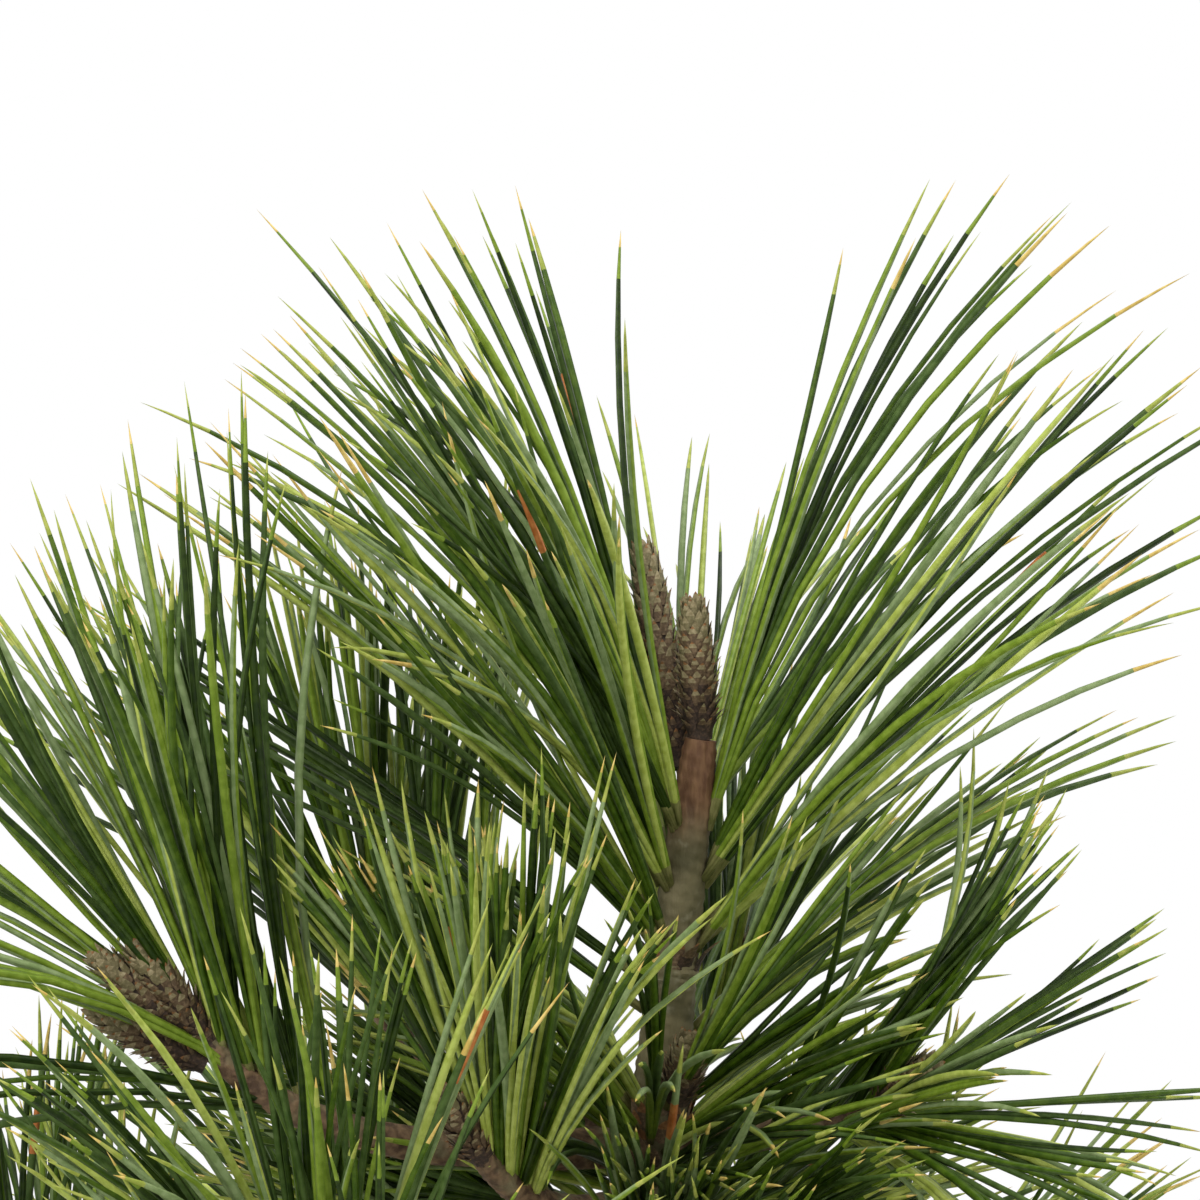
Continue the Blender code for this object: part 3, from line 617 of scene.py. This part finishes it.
def spears(paths, sides, outs, widths, corners):
    """Pointed blades, many at once. Each ring of a blade stands square to its path, with corners given in
    shares of its width sideways and outwards. The path's last point is the blade's tip."""
    count, rings = paths.shape[0], paths.shape[1] - 1
    columns = len(corners)
    sideways = sides[:, :-1, None] * corners[None, None, :, :1]
    outwards = outs[:, :-1, None] * corners[None, None, :, 1:]
    ring = paths[:, :-1, None] + (sideways + outwards) * widths[:, :, None, None]
    points = np.concatenate([ring.reshape(count, -1, 3), paths[:, -1:]], 1)
    this = np.arange(columns)
    after = (this + 1) % columns
    row = np.arange(rings - 1)[:, None] * columns
    quads = np.stack([row + this, row + after, row + columns + after, row + columns + this], -1)
    last = (rings - 1) * columns
    tips = np.stack([last + this, last + after, np.full(columns, rings * columns)], -1)
    start = (rings * columns + 1) * np.arange(count)
    quads = quads.reshape(1, -1, 4) + start[:, None, None]
    tips = tips[None] + start[:, None, None]
    roots = this[::-1][None] + start[:, None]
    faces = quads.reshape(-1, 4).tolist() + tips.reshape(-1, 3).tolist() + roots.tolist()
    return points.reshape(-1, 3), faces


def per_face(ring_values, tip_values, root_values):
    """Lines values of rings, tips and roots up with the faces of spears."""
    return np.concatenate([ring_values.reshape(-1), tip_values.reshape(-1), root_values.reshape(-1)])


def bud_girth(share):
    """A bud's radius up its length, in shares of its thickest: drawn in at the foot, blunt at the end."""
    return np.interp(share, [0, 0.08, 0.3, 0.7, 0.9, 1], [0.62, 0.85, 1.0, 0.97, 0.84, 0.5])


def bracts(foot, tip, radius, count, length, width, seed):
    """Bracts in a golden-angle spiral up a bud: each hugs the bud at its root and lifts off towards its
    tip. The lower ones are darker, and a little over half of all end in a rusty point."""
    chance = np.random.default_rng(seed)
    axis = unit(tip - foot)
    one = unit(np.cross(axis, BRACT_SIDE))
    other = np.cross(axis, one)
    share = (np.arange(count) + 0.5) / count
    turn = GOLDEN_TURN * np.arange(count) + chance.uniform(-0.2, 0.2, count)
    outward = one * np.cos(turn)[:, None] + other * np.sin(turn)[:, None]
    fat = radius * bud_girth(share)
    size = length * chance.uniform(0.8, 1.2, count) * (1 - 0.25 * share)
    along_bract = np.array([0, 0.3, 0.6, 0.85, 1])[None, :, None]
    root = foot + axis * (share * np.linalg.norm(tip - foot) * 0.93)[:, None] + outward * fat[:, None] * 0.88
    curl = (BRACT_LIFT * chance.uniform(0.5, 1.6, count) * (1 - 0.7 * share))[:, None, None]
    rise = 0.10 * along_bract + curl * along_bract**2.5
    paths = root[:, None] + size[:, None, None] * (axis * along_bract + outward[:, None] * rise)
    closing = (fat * 0.30 * share**4)[:, None, None]
    paths = paths - outward[:, None] * closing * along_bract**2
    tangent = unit(np.gradient(paths, axis=1))
    side = unit(np.cross(outward[:, None], tangent))
    out = np.cross(tangent, side)
    widths = width * (np.array([0.8, 1.0, 0.85, 0.45])[None] * chance.uniform(0.85, 1.15, (count, 1)))
    corners = np.array([(1, -0.12), (0.55, 0.16), (-0.55, 0.16), (-1, -0.12), (0, -0.05)])
    points, faces = spears(paths, side, out, widths, corners)
    old = share + chance.uniform(-0.12, 0.12, count)
    body = np.select([old < 0.30, old < 0.72], [DARK_BRACT, BROWN_BRACT], OLIVE_BRACT)
    shades = np.repeat(body[:, None, None], 3, 1) + np.zeros((1, 1, 5), int)
    shades[:, 2] = np.where(body[:, None] == DARK_BRACT, BROWN_BRACT, PALE_BRACT)
    tips = np.where(chance.uniform(size=count) < 0.55, RUST_BRACT, PALE_BRACT)
    return points, faces, per_face(shades, np.repeat(tips, 5), body)


def core(foot, tip, radius):
    """The body under the bracts: a round spindle with a blunt end, as thick as the shoot at its foot."""
    share = np.linspace(0, 1, CORE_RINGS)[:, None]
    radii = np.maximum(0.86 * radius * bud_girth(share), SHOOT_TIP_RADIUS * (1 - share * 6))
    radii = np.repeat(radii, CORE_COLUMNS, 1)
    return skin(along(foot + (tip - foot) * share, radii, CORE_SIDE, CORE_COLUMNS))


def dressed_bud(foot, tip, radius, count, length, seed):
    """A bud's core and its bracts, with the shade of every face."""
    inside = core(foot, tip - 0.06 * (tip - foot), radius)
    points, faces, shades = bracts(foot, tip, radius, count, length, BRACT_WIDTH, seed)
    points, faces = joined([inside, (points, faces)])
    return points, faces, np.concatenate([np.full(len(inside[1]), DARK_BRACT), shades])


def gather(name, solids, materials, sharp=180):
    """One piece from many solids with shades: each face takes the material of its shade."""
    points, faces = joined([solid[:2] for solid in solids])
    made = make_piece(name, points, faces, sharp)
    for material in materials:
        made.data.materials.append(material)
    made.data.polygons.foreach_set("material_index", np.concatenate([solid[2] for solid in solids]))
    return made


def papery(name, colour, paler, roughness):
    """Dry bract: one colour that pales in fine streaks."""
    finish = Finish(name)
    veins = finish.noise(2600, 4)
    finish.bump(veins, 0.0002, 0.6)
    return finish.done(
        Base_Color=finish.mix(finish.step(veins, 0.4, 0.7), colour, paler),
        Roughness=roughness + 0.15 * veins,
    )


bract_finishes = [
    papery("bract_dark", (0.030, 0.017, 0.010), (0.085, 0.048, 0.028), 0.7),
    papery("bract_brown", (0.095, 0.058, 0.028), (0.19, 0.125, 0.065), 0.68),
    papery("bract_olive", (0.140, 0.115, 0.050), (0.23, 0.195, 0.095), 0.66),
    papery("bract_pale", (0.22, 0.175, 0.085), (0.34, 0.28, 0.16), 0.66),
    papery("bract_rust", (0.20, 0.085, 0.028), (0.33, 0.16, 0.06), 0.66),
]
leader_tip = leader_point(LEADER_TIP)
side_fork = leader_point(SIDE_CANDLE_FORK) + compass_direction(SIDE_CANDLE_COMPASS) * SIDE_CANDLE_STALK
small_side = compass_direction(SMALL_CANDLE_COMPASS)
small_out = leader_radius(SMALL_CANDLE_FOOT) + SMALL_CANDLE_CLEAR
small_foot = leader_point(SMALL_CANDLE_FOOT) + small_side * small_out
small_tip = small_foot + unit(UP + small_side * SMALL_CANDLE_LEAN) * SMALL_CANDLE_LENGTH
# foot, tip, radius, number of bracts, their length, seed
candles = [
    dressed_bud(leader_tip, leader_tip + CANDLE_WAY, CANDLE_RADIUS, 150, CANDLE_BRACT_LENGTH, 61),
    dressed_bud(side_fork, SIDE_CANDLE_TIP, CANDLE_RADIUS, 210, 0.0030, 62),
    dressed_bud(small_foot, small_tip, CANDLE_RADIUS * 0.98, 84, 0.0026, 63),
]
candle = gather("candles", candles, bract_finishes, 50)
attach(candle, "root")
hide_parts("candle_leader", "candle_side", "candle_small")

end_buds = []
for shoot in SHOOTS:
    bud_way = shoot_tangent(shoot, 0.99)
    bud_foot = shoot_path(shoot, 1.0)
    bud_length = LEFT_CANDLE_LENGTH if shoot.name == "left" else BUD_LENGTH
    bud_bracts = int(BUD_BRACTS_PER_METRE * bud_length)
    foot, tip = bud_foot - bud_way * 0.001, bud_foot + bud_way * bud_length
    end_buds.append(dressed_bud(foot, tip, BUD_RADIUS, bud_bracts, BUD_BRACT_LENGTH, shoot.seed))
left_shoot = SHOOTS[0]
left_way = shoot_tangent(left_shoot, 0.99)
left_foot = shoot_path(left_shoot, 1.0) - left_way * 0.5 * BUD_LENGTH
for lean, stalk, seed in LEFT_CANDLES:
    way = unit(left_way + compass_direction(180) * lean)
    foot = left_foot + way * (BUD_RADIUS + stalk)
    tip = foot + way * LEFT_CANDLE_LENGTH
    end_buds.append(dressed_bud(foot, tip, BUD_RADIUS, LEFT_CANDLE_BRACTS, CANDLE_BRACT_LENGTH, seed))
buds = gather("end_buds", end_buds, bract_finishes, 50)
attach(buds, "root")


def whorl_bracts(height, reach, count, seed):
    """Dry bracts that last year's bud left in a loose collar round a whorl."""
    foot, tip = leader_point(height - 0.5 * reach), leader_point(height + reach)
    girth = leader_radius(height) * COLLAR_GIRTH
    return bracts(foot, tip, girth, count, COLLAR_BRACT_LENGTH, COLLAR_BRACT_WIDTH, seed)


# These bracts are older: brown where a bud's are olive or rusty, and rusty where a bud's are pale
old_shades = (DARK_BRACT, BROWN_BRACT, BROWN_BRACT, RUST_BRACT, BROWN_BRACT)
old_finishes = [bract_finishes[shade] for shade in old_shades]
collars = gather("whorl_bracts", [whorl_bracts(*collar) for collar in COLLARS], old_finishes, 50)
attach(collars, "root")

# Needles: five stand together in a bundle, three-sided, stiff and sharp. Outside they are green, inside they
# carry a blue-grey bloom, and their tips dry to yellow and tan. They stand on the shoots and on the leader.
# Their greens are painted light and painted shade: a lit copy, the plain green and two shaded copies, dealt
# out by bundle, with the shaded ones most in the inner masses
NEW_GROWTH = (0.237, 0.273)
LAST_GROWTH = (0.180, 0.209)
WHORL_GROWTH = (0.210, 0.236)
# Half is half the angle that a mass takes up round the leader. Lengths and spreads are at its foot and top
Fan = namedtuple("Fan", "name compass half growth needles lengths spreads seed")
FANS = [
    Fan("leader_left", 166, 38, NEW_GROWTH, 60, (0.090, 0.080), (62, 23), 31),
    Fan("leader_right", 356, 36, NEW_GROWTH, 54, (0.076, 0.093), (56, 11), 32),
    Fan("leader_front", 228, 20, NEW_GROWTH, 14, (0.074, 0.074), (60, 32), 33),
    Fan("leader_back", 82, 38, NEW_GROWTH, 40, (0.068, 0.062), (64, 44), 34),
    Fan("inner_left", 165, 50, LAST_GROWTH, 18, (0.060, 0.056), (70, 48), 35),
    Fan("inner_front", 278, 50, LAST_GROWTH, 16, (0.054, 0.050), (72, 50), 36),
    Fan("inner_right", 40, 50, LAST_GROWTH, 16, (0.054, 0.050), (72, 50), 37),
]
# Short bundles that stand round the upper whorl and fill the crown's heart
TUFTS = [
    Fan("tuft_front", 242, 104, WHORL_GROWTH, 30, (0.034, 0.048), (80, 42), 38),
    Fan("tuft_back", 82, 118, WHORL_GROWTH, 20, (0.034, 0.044), (80, 46), 39),
]
NEEDLES_FROM = 0.05
NEEDLES_TO = 0.93
FOOT_SPREAD = 66
END_SPREAD = 24
END_SHORTER = 0.16
# Bundles for each needle that the tables name, fewer where the photograph shows gaps
BUNDLES_ON_INNER_FAN = 1.7
BUNDLES_ON_SHOOT = 0.66
BUNDLES_PER_NEEDLE = {
    "leader_left": 0.33,
    "leader_right": 0.24,
    "leader_front": 0.8,
    "leader_back": 0.2,
    "right": 0.34,
    "left": 0.44,
}
# Shares of bundles in painted light, plain green, painted shade and deep painted shade; the inner masses
# carry the most painted shade
TUFT_LIGHT_AND_SHADE = (0.14, 0.30, 0.26, 0.30)
INNER_LIGHT_AND_SHADE = (0.04, 0.16, 0.35, 0.45)
LEADER_LIGHT_AND_SHADE = (0.20, 0.32, 0.26, 0.22)
LOWER_LIGHT_AND_SHADE = (0.18, 0.28, 0.26, 0.28)
UPPER_LIGHT_AND_SHADE = (0.26, 0.28, 0.22, 0.24)
TUFT_LOOSENESS = 0.3
FAN_LOOSENESS = 0.12
SHOOT_LOOSENESS = 0.20
NEEDLE_WIDTH = 0.00100
RIM_CLEAR = POT_HEIGHT + 0.003
RIM_BEND = 0.010
RING_SHARES = np.array([0, 0.05, 0.20, 0.37, 0.54, 0.68, 0.80, 0.905, 0.965, 1])
RING_WIDTHS = np.array([0.62, 0.85, 0.95, 1.0, 1.0, 0.97, 0.89, 0.64, 0.36])
NEEDLE_CORNERS = np.array([(0.52, -0.04), (0, 0.40), (-0.52, -0.04), (0, -0.46)])
PARTING = (0.02, 0.13)
NEEDLE_STRAY = 0.14
SETTLING = (-0.02, 0.06)
SCORCHED_RING = 5
SCORCHED_NEEDLES = 0.009
GOLDEN_BUNDLES = 0.04
GOLDEN_TIPS = 0.4
# Needle materials by index; the first four are painted light, plain green, painted shade and deep painted
# shade
PAINTED_LIGHT, GREEN, PAINTED_SHADE, DEEP_PAINTED_SHADE, LIGHT_BLOOM, BLOOM_IN_PAINTED_SHADE, FRESH_TIP, GOLD_TIP, SCORCHED, FOOT = range(10)


def spread_evenly(index):
    """Two numbers from 0 to 1 that fill the unit square evenly, however many indices are drawn."""
    return (0.5 + index * 0.7548777) % 1, (0.5 + index * 0.5698403) % 1


def draw(low, high, seed, index, salt):
    """A number between two limits that looks random, and is the same for the same seed, index and salt."""
    scattered = 43758.5453 * np.sin(12.9898 * index + 78.233 * seed + 37.719 * salt)
    return low + (high - low) * (scattered % 1)


def across(direction):
    """Two unit vectors square to each direction and to each other, found from its largest part."""
    x, y, z = direction[..., 0], direction[..., 1], direction[..., 2]
    largest = np.argmax(np.abs(direction), -1)[..., None]
    first = np.where(
        largest == 0,
        np.stack([-y - z, x, x], -1),
        np.where(largest == 1, np.stack([y, -x - z, y], -1), np.stack([z, z, -x - y], -1)),
    )
    first = unit(first)
    return first, unit(np.cross(direction, first))


def shoot_bundles(shoot, index):
    """Where a side shoot's needles stand and how they run: they lean further forward the nearer the tip."""
    bare, seed = shoot.bare, shoot.seed
    up_stem, round_stem = spread_evenly(index)
    share = bare + (1 - bare) * (NEEDLES_FROM + (NEEDLES_TO - NEEDLES_FROM) * up_stem)
    tangent = shoot_tangent(shoot, share)
    one, other = across(tangent)
    turn = 2 * np.pi * round_stem[:, None]
    outward = one * np.cos(turn) + other * np.sin(turn)
    spread = FOOT_SPREAD + (END_SPREAD - FOOT_SPREAD) * up_stem + draw(-7, 7, seed, index, 1)
    spread = np.radians(spread)[:, None]
    aim = unit(tangent * np.cos(spread) + outward * np.sin(spread) + UP * shoot.lift)
    level = (outward * aim).sum(-1, keepdims=True)
    droop = draw(0.02, 0.16, seed, index, 2)[:, None]
    sag = (outward - aim * level - (UP - aim * aim[:, 2:]) * 0.5) * droop
    length = shoot.length * (1 - END_SHORTER * up_stem) * draw(0.90, 1.04, seed, index, 3)
    return shoot_path(shoot, share), aim, sag, length


def fan_bundles(fan, index):
    """Where the needles on the leader stand and how they run: the higher, the steeper."""
    low, high = fan.growth
    compass, lengths, spreads, seed = fan.compass, fan.lengths, fan.spreads, fan.seed
    up_fan, round_fan = spread_evenly(index)
    height = low + 0.001 + (high - low - 0.002) * up_fan**0.7
    turn = 0.72 * fan.half * (2 * round_fan - 1)
    outward = compass_direction(compass + turn * 1.5)
    root = leader_point(height) + compass_direction(compass + turn) * leader_radius(height)[:, None]
    spread = spreads[0] + (spreads[1] - spreads[0]) * up_fan + draw(-6, 6, seed, index, 1)
    droop = draw(0.06, 0.20, seed, index, 2)[:, None]
    start = np.radians(spread)[:, None] - np.arctan(droop)
    tangent = leader_axis(height)
    aim = unit(tangent * np.cos(start) + outward * np.sin(start))
    sag = (outward * np.cos(start) - tangent * np.sin(start)) * droop
    length = (lengths[0] + (lengths[1] - lengths[0]) * up_fan) * draw(0.90, 1.04, seed, index, 3)
    return root, aim, sag, length


def heart_of_shoot(shoot):
    """The line at the heart of a side shoot's space: its stem, carried on past the bud and upwards."""
    tip = shoot_path(shoot, 1.0)
    onward = unit(shoot_tangent(shoot, 0.98) + UP * 2 * shoot.lift)
    return [shoot_path(shoot, shoot.bare), tip, tip + onward * 0.8 * shoot.length]


def heart_of_fan(fan):
    """The line at the heart of a mass on the leader: it climbs away from the leader on its own side."""
    foot = leader_point(0.5 * sum(fan.growth))
    return [foot, foot + unit(compass_direction(fan.compass) * 0.9 + UP) * fan.lengths[1]]


def distance_to(points, line):
    """How far points lie from a line through two or three places."""
    nearest = np.inf
    for foot, tip in zip(line, line[1:]):
        way = tip - foot
        share = np.clip(((points - foot) @ way) / (way @ way), 0, 1)[..., None]
        nearest = np.minimum(nearest, np.linalg.norm(points - foot - way * share, axis=-1))
    return nearest


hearts = {shoot.name: heart_of_shoot(shoot) for shoot in SHOOTS}
hearts |= {fan.name: heart_of_fan(fan) for fan in FANS}


def own_bundles(name, bundles_at, wanted):
    """The first bundles of a mass whose outer parts lie nearest its own heart, and above the pot."""
    root, aim, sag, length = bundles_at(np.arange(6 * wanted))
    share = np.array([0.35, 0.6, 0.8, 1.0])[:, None, None]
    points = root + (aim * share + sag * share**2) * length[:, None]
    own = distance_to(points, hearts[name])
    others = np.min([distance_to(points, line) for other, line in hearts.items() if other != name], 0)
    kept = np.all((own <= others) & (points[..., 2] > POT_HEIGHT + 0.004), 0)
    chosen = np.flatnonzero(kept)[:wanted]
    return root[chosen], aim[chosen], sag[chosen], length[chosen]


def needle_mass(bundles, light_and_shade_shares, loose, seed):
    """Five needles to each bundle. They share its curve, held close, and part a little towards their tips.
    The shares give how many bundles are coloured in painted light, plain green, painted shade and deep
    painted shade, and loose is how far a bundle strays."""
    chance = np.random.default_rng(seed)
    root, aim, sag, length = [value[:, None, None] for value in bundles]
    count = len(root)
    length = (length * chance.uniform(0.94, 1.04, (count, 5, 1)))[..., None]
    first, second = across(bundles[1])
    turn = (2 * np.pi * (np.arange(5) / 5 + chance.uniform(0, 1, (count, 1))))[..., None]
    around = (first[:, None] * np.cos(turn) + second[:, None] * np.sin(turn))[:, :, None]
    share = RING_SHARES[None, None, :, None]
    parting = chance.uniform(*PARTING, (count, 1)) * chance.uniform(0.4, 1.6, (count, 5))
    parting = parting[..., None, None]
    wander = unit(chance.normal(size=(count, 5, 1, 3))) * chance.uniform(0, NEEDLE_STRAY, (count, 5, 1, 1))
    wander = wander + unit(chance.normal(size=(count, 1, 1, 3))) * chance.uniform(0, loose, (count, 1, 1, 1))
    wander = wander - UP * chance.uniform(*SETTLING, (count, 1, 1, 1)) * share
    sag = sag * chance.uniform(0.5, 1.8, (count, 1, 1, 1)) * chance.uniform(0.8, 1.2, (count, 5, 1, 1))
    width = NEEDLE_WIDTH * chance.uniform(0.86, 1.12, (count, 5))[..., None, None]
    held = 0.46 * width * (0.6 + 0.4 * np.minimum(share / 0.1, 1))
    course = aim * share + sag * share**2 + around * parting * share**2.2 + wander * share**2
    paths = (root + length * course + around * held).reshape(-1, len(RING_SHARES), 3)
    # Needles that hang low bend level just above the pot's rim
    below = paths[..., 2] - RIM_CLEAR - RIM_BEND
    paths[..., 2] = np.where(below < 0, RIM_CLEAR + RIM_BEND * np.exp(below / RIM_BEND), paths[..., 2])
    tangent = unit(np.gradient(paths, axis=1))
    out = np.broadcast_to(around, (count, 5, len(RING_SHARES), 3)).reshape(paths.shape)
    side = unit(np.cross(out, tangent))
    out = np.cross(tangent, side)
    widths = width.reshape(-1, 1) * RING_WIDTHS[None]
    points, faces = spears(paths, side, out, widths, NEEDLE_CORNERS)
    blades = 5 * count
    # Each bundle draws its level of painted light and shade, and some of its needles sit one level lighter
    # and some one darker
    light_and_shade = chance.choice(4, size=count, p=light_and_shade_shares)[:, None] + chance.choice([0, 0, 0, 1, -1], size=(count, 5))
    light_and_shade = np.clip(light_and_shade, PAINTED_LIGHT, DEEP_PAINTED_SHADE).reshape(-1)
    shades = np.zeros((blades, len(RING_WIDTHS) - 1, 4), int)
    shades[:, :, :2] = light_and_shade[:, None, None]
    # Inner faces carry the bloom, in its painted-shade copy on bundles in painted shade
    shades[:, :, 2:] = np.where(light_and_shade < PAINTED_SHADE, LIGHT_BLOOM, BLOOM_IN_PAINTED_SHADE)[:, None, None]
    shades[:, 0] = FOOT
    # Ring before the tip: fresh yellow-green, but plain green on bundles in deep painted shade, as painted
    # shade
    shades[:, -1] = np.where(light_and_shade < DEEP_PAINTED_SHADE, FRESH_TIP, GREEN)[:, None]
    shades[chance.uniform(size=blades) < SCORCHED_NEEDLES, SCORCHED_RING] = SCORCHED
    golden = np.repeat(chance.uniform(size=count) < GOLDEN_BUNDLES, 5)
    shades[golden, -1] = GOLD_TIP
    golden = golden | (chance.uniform(size=blades) < GOLDEN_TIPS)
    tips = np.repeat(np.where(golden, GOLD_TIP, FRESH_TIP), 4)
    return points, faces, per_face(shades, tips, np.full(blades, FOOT))


def waxy(name, colour, paler, roughness):
    """Needle skin: one green with a faint mottle and a waxy gloss."""
    finish = Finish(name)
    mottle = finish.noise(700, 3)
    finish.bump(finish.noise(3800, 2), 0.00008, 0.5)
    return finish.done(
        Base_Color=finish.mix(finish.step(mottle, 0.35, 0.65), colour, paler),
        Roughness=roughness + 0.12 * mottle,
        Specular_IOR_Level=0.2,
    )


# Greens in painted light, plain, in painted shade and in deep painted shade; the bloom plain and in painted
# shade; then tips, scorch and foot
needle_finishes = [
    waxy("needle_painted_light", (0.310, 0.375, 0.060), (0.420, 0.490, 0.110), 0.32),
    waxy("needle_green", (0.128, 0.200, 0.014), (0.190, 0.272, 0.030), 0.32),
    waxy("needle_painted_shade", (0.036, 0.076, 0.003), (0.068, 0.120, 0.008), 0.34),
    waxy("needle_deep_painted_shade", (0.009, 0.023, 0.001), (0.022, 0.044, 0.002), 0.36),
    waxy("needle_bloom_light", (0.160, 0.225, 0.080), (0.230, 0.300, 0.130), 0.5),
    waxy("needle_bloom_painted_shade", (0.036, 0.070, 0.010), (0.066, 0.110, 0.024), 0.5),
    waxy("needle_tip_fresh", (0.250, 0.300, 0.045), (0.360, 0.390, 0.085), 0.42),
    waxy("needle_tip_gold", (0.470, 0.330, 0.075), (0.620, 0.470, 0.150), 0.50),
    waxy("needle_scorched", (0.350, 0.105, 0.022), (0.480, 0.180, 0.050), 0.52),
    waxy("needle_foot", (0.160, 0.165, 0.050), (0.230, 0.220, 0.080), 0.46),
]
masses = {}
for tuft in TUFTS:
    bundles = fan_bundles(tuft, np.arange(tuft.needles))
    masses[tuft.name] = needle_mass(bundles, TUFT_LIGHT_AND_SHADE, TUFT_LOOSENESS, 100 + tuft.seed)
for fan in FANS:
    wanted = int(fan.needles * BUNDLES_PER_NEEDLE.get(fan.name, BUNDLES_ON_INNER_FAN))
    bundles = own_bundles(fan.name, lambda index: fan_bundles(fan, index), wanted)
    light_and_shade_shares = INNER_LIGHT_AND_SHADE if fan.name.startswith("inner") else LEADER_LIGHT_AND_SHADE
    masses[fan.name] = needle_mass(bundles, light_and_shade_shares, FAN_LOOSENESS, 100 + fan.seed)
for shoot in SHOOTS:
    wanted = int(shoot.needles * BUNDLES_PER_NEEDLE.get(shoot.name, BUNDLES_ON_SHOOT))
    bundles = own_bundles(shoot.name, lambda index: shoot_bundles(shoot, index), wanted)
    light_and_shade_shares = LOWER_LIGHT_AND_SHADE if shoot.name.startswith("low") else UPPER_LIGHT_AND_SHADE
    masses[shoot.name] = needle_mass(bundles, light_and_shade_shares, SHOOT_LOOSENESS, 100 + shoot.seed)

needle_groups = {
    "needles_of_leader": (FANS, TUFTS),
    "needles_of_upper_whorl": (SHOOTS[:UPPER_SHOOTS], []),
    "needles_of_lower_whorl": (SHOOTS[UPPER_SHOOTS:], []),
}
for group_name, (members, extras) in needle_groups.items():
    needles = gather(group_name, [masses[member.name] for member in members + extras], needle_finishes)
    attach(needles, "root")
    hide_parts(*[f"needles_{member.name}" for member in members])

# Floor and light: a pale round table top, a white surround, a large soft lamp above and to the left, and a
# weaker one to the right.
FLOOR_PROFILE = [(0.01, -0.012), (0.60, -0.012), (0.61, -0.006), (0.60, 0.0), (0.01, 0.0)]
FLOOR_COLUMNS = 96
# name, place, target, width, power
LAMPS = [
    ("key_lamp", (-0.55, -0.75, 1.05), (0, 0, 0.28), 0.50, 9),
    ("top_lamp", (0.35, 0.10, 1.10), (0, 0, 0.25), 0.50, 5),
]
floor = make_piece("floor", *skin(turned(FLOOR_PROFILE, FLOOR_COLUMNS)), sharp=30)
tabletop = Finish("floor_pale")
floor_mottle = tabletop.noise(9, 3)
floor.data.materials.append(tabletop.done(
    Base_Color=tabletop.mix(floor_mottle, (0.78, 0.77, 0.75), (0.82, 0.81, 0.79)),
    Roughness=0.7 + 0.1 * floor_mottle,
))


def soft_lamp(name, place, target, size, power):
    """A square lamp that faces a target."""
    lamp = bpy.data.objects.new(name, bpy.data.lights.new(name, "AREA"))
    lamp.data.size = size
    lamp.data.energy = power
    way = Vector([end - start for start, end in zip(place, target)])
    lamp.location = place
    lamp.rotation_euler = way.to_track_quat("-Z", "Y").to_euler()
    scene.collection.objects.link(lamp)


for lamp_row in LAMPS:
    soft_lamp(*lamp_row)
surround = bpy.data.worlds.new("surround")
surround.use_nodes = True
surround.node_tree.nodes["Background"].inputs["Color"].default_value = (1, 1, 1, 1)
surround.node_tree.nodes["Background"].inputs["Strength"].default_value = 1.0
scene.world = surround
scene.view_settings.view_transform = "Standard"
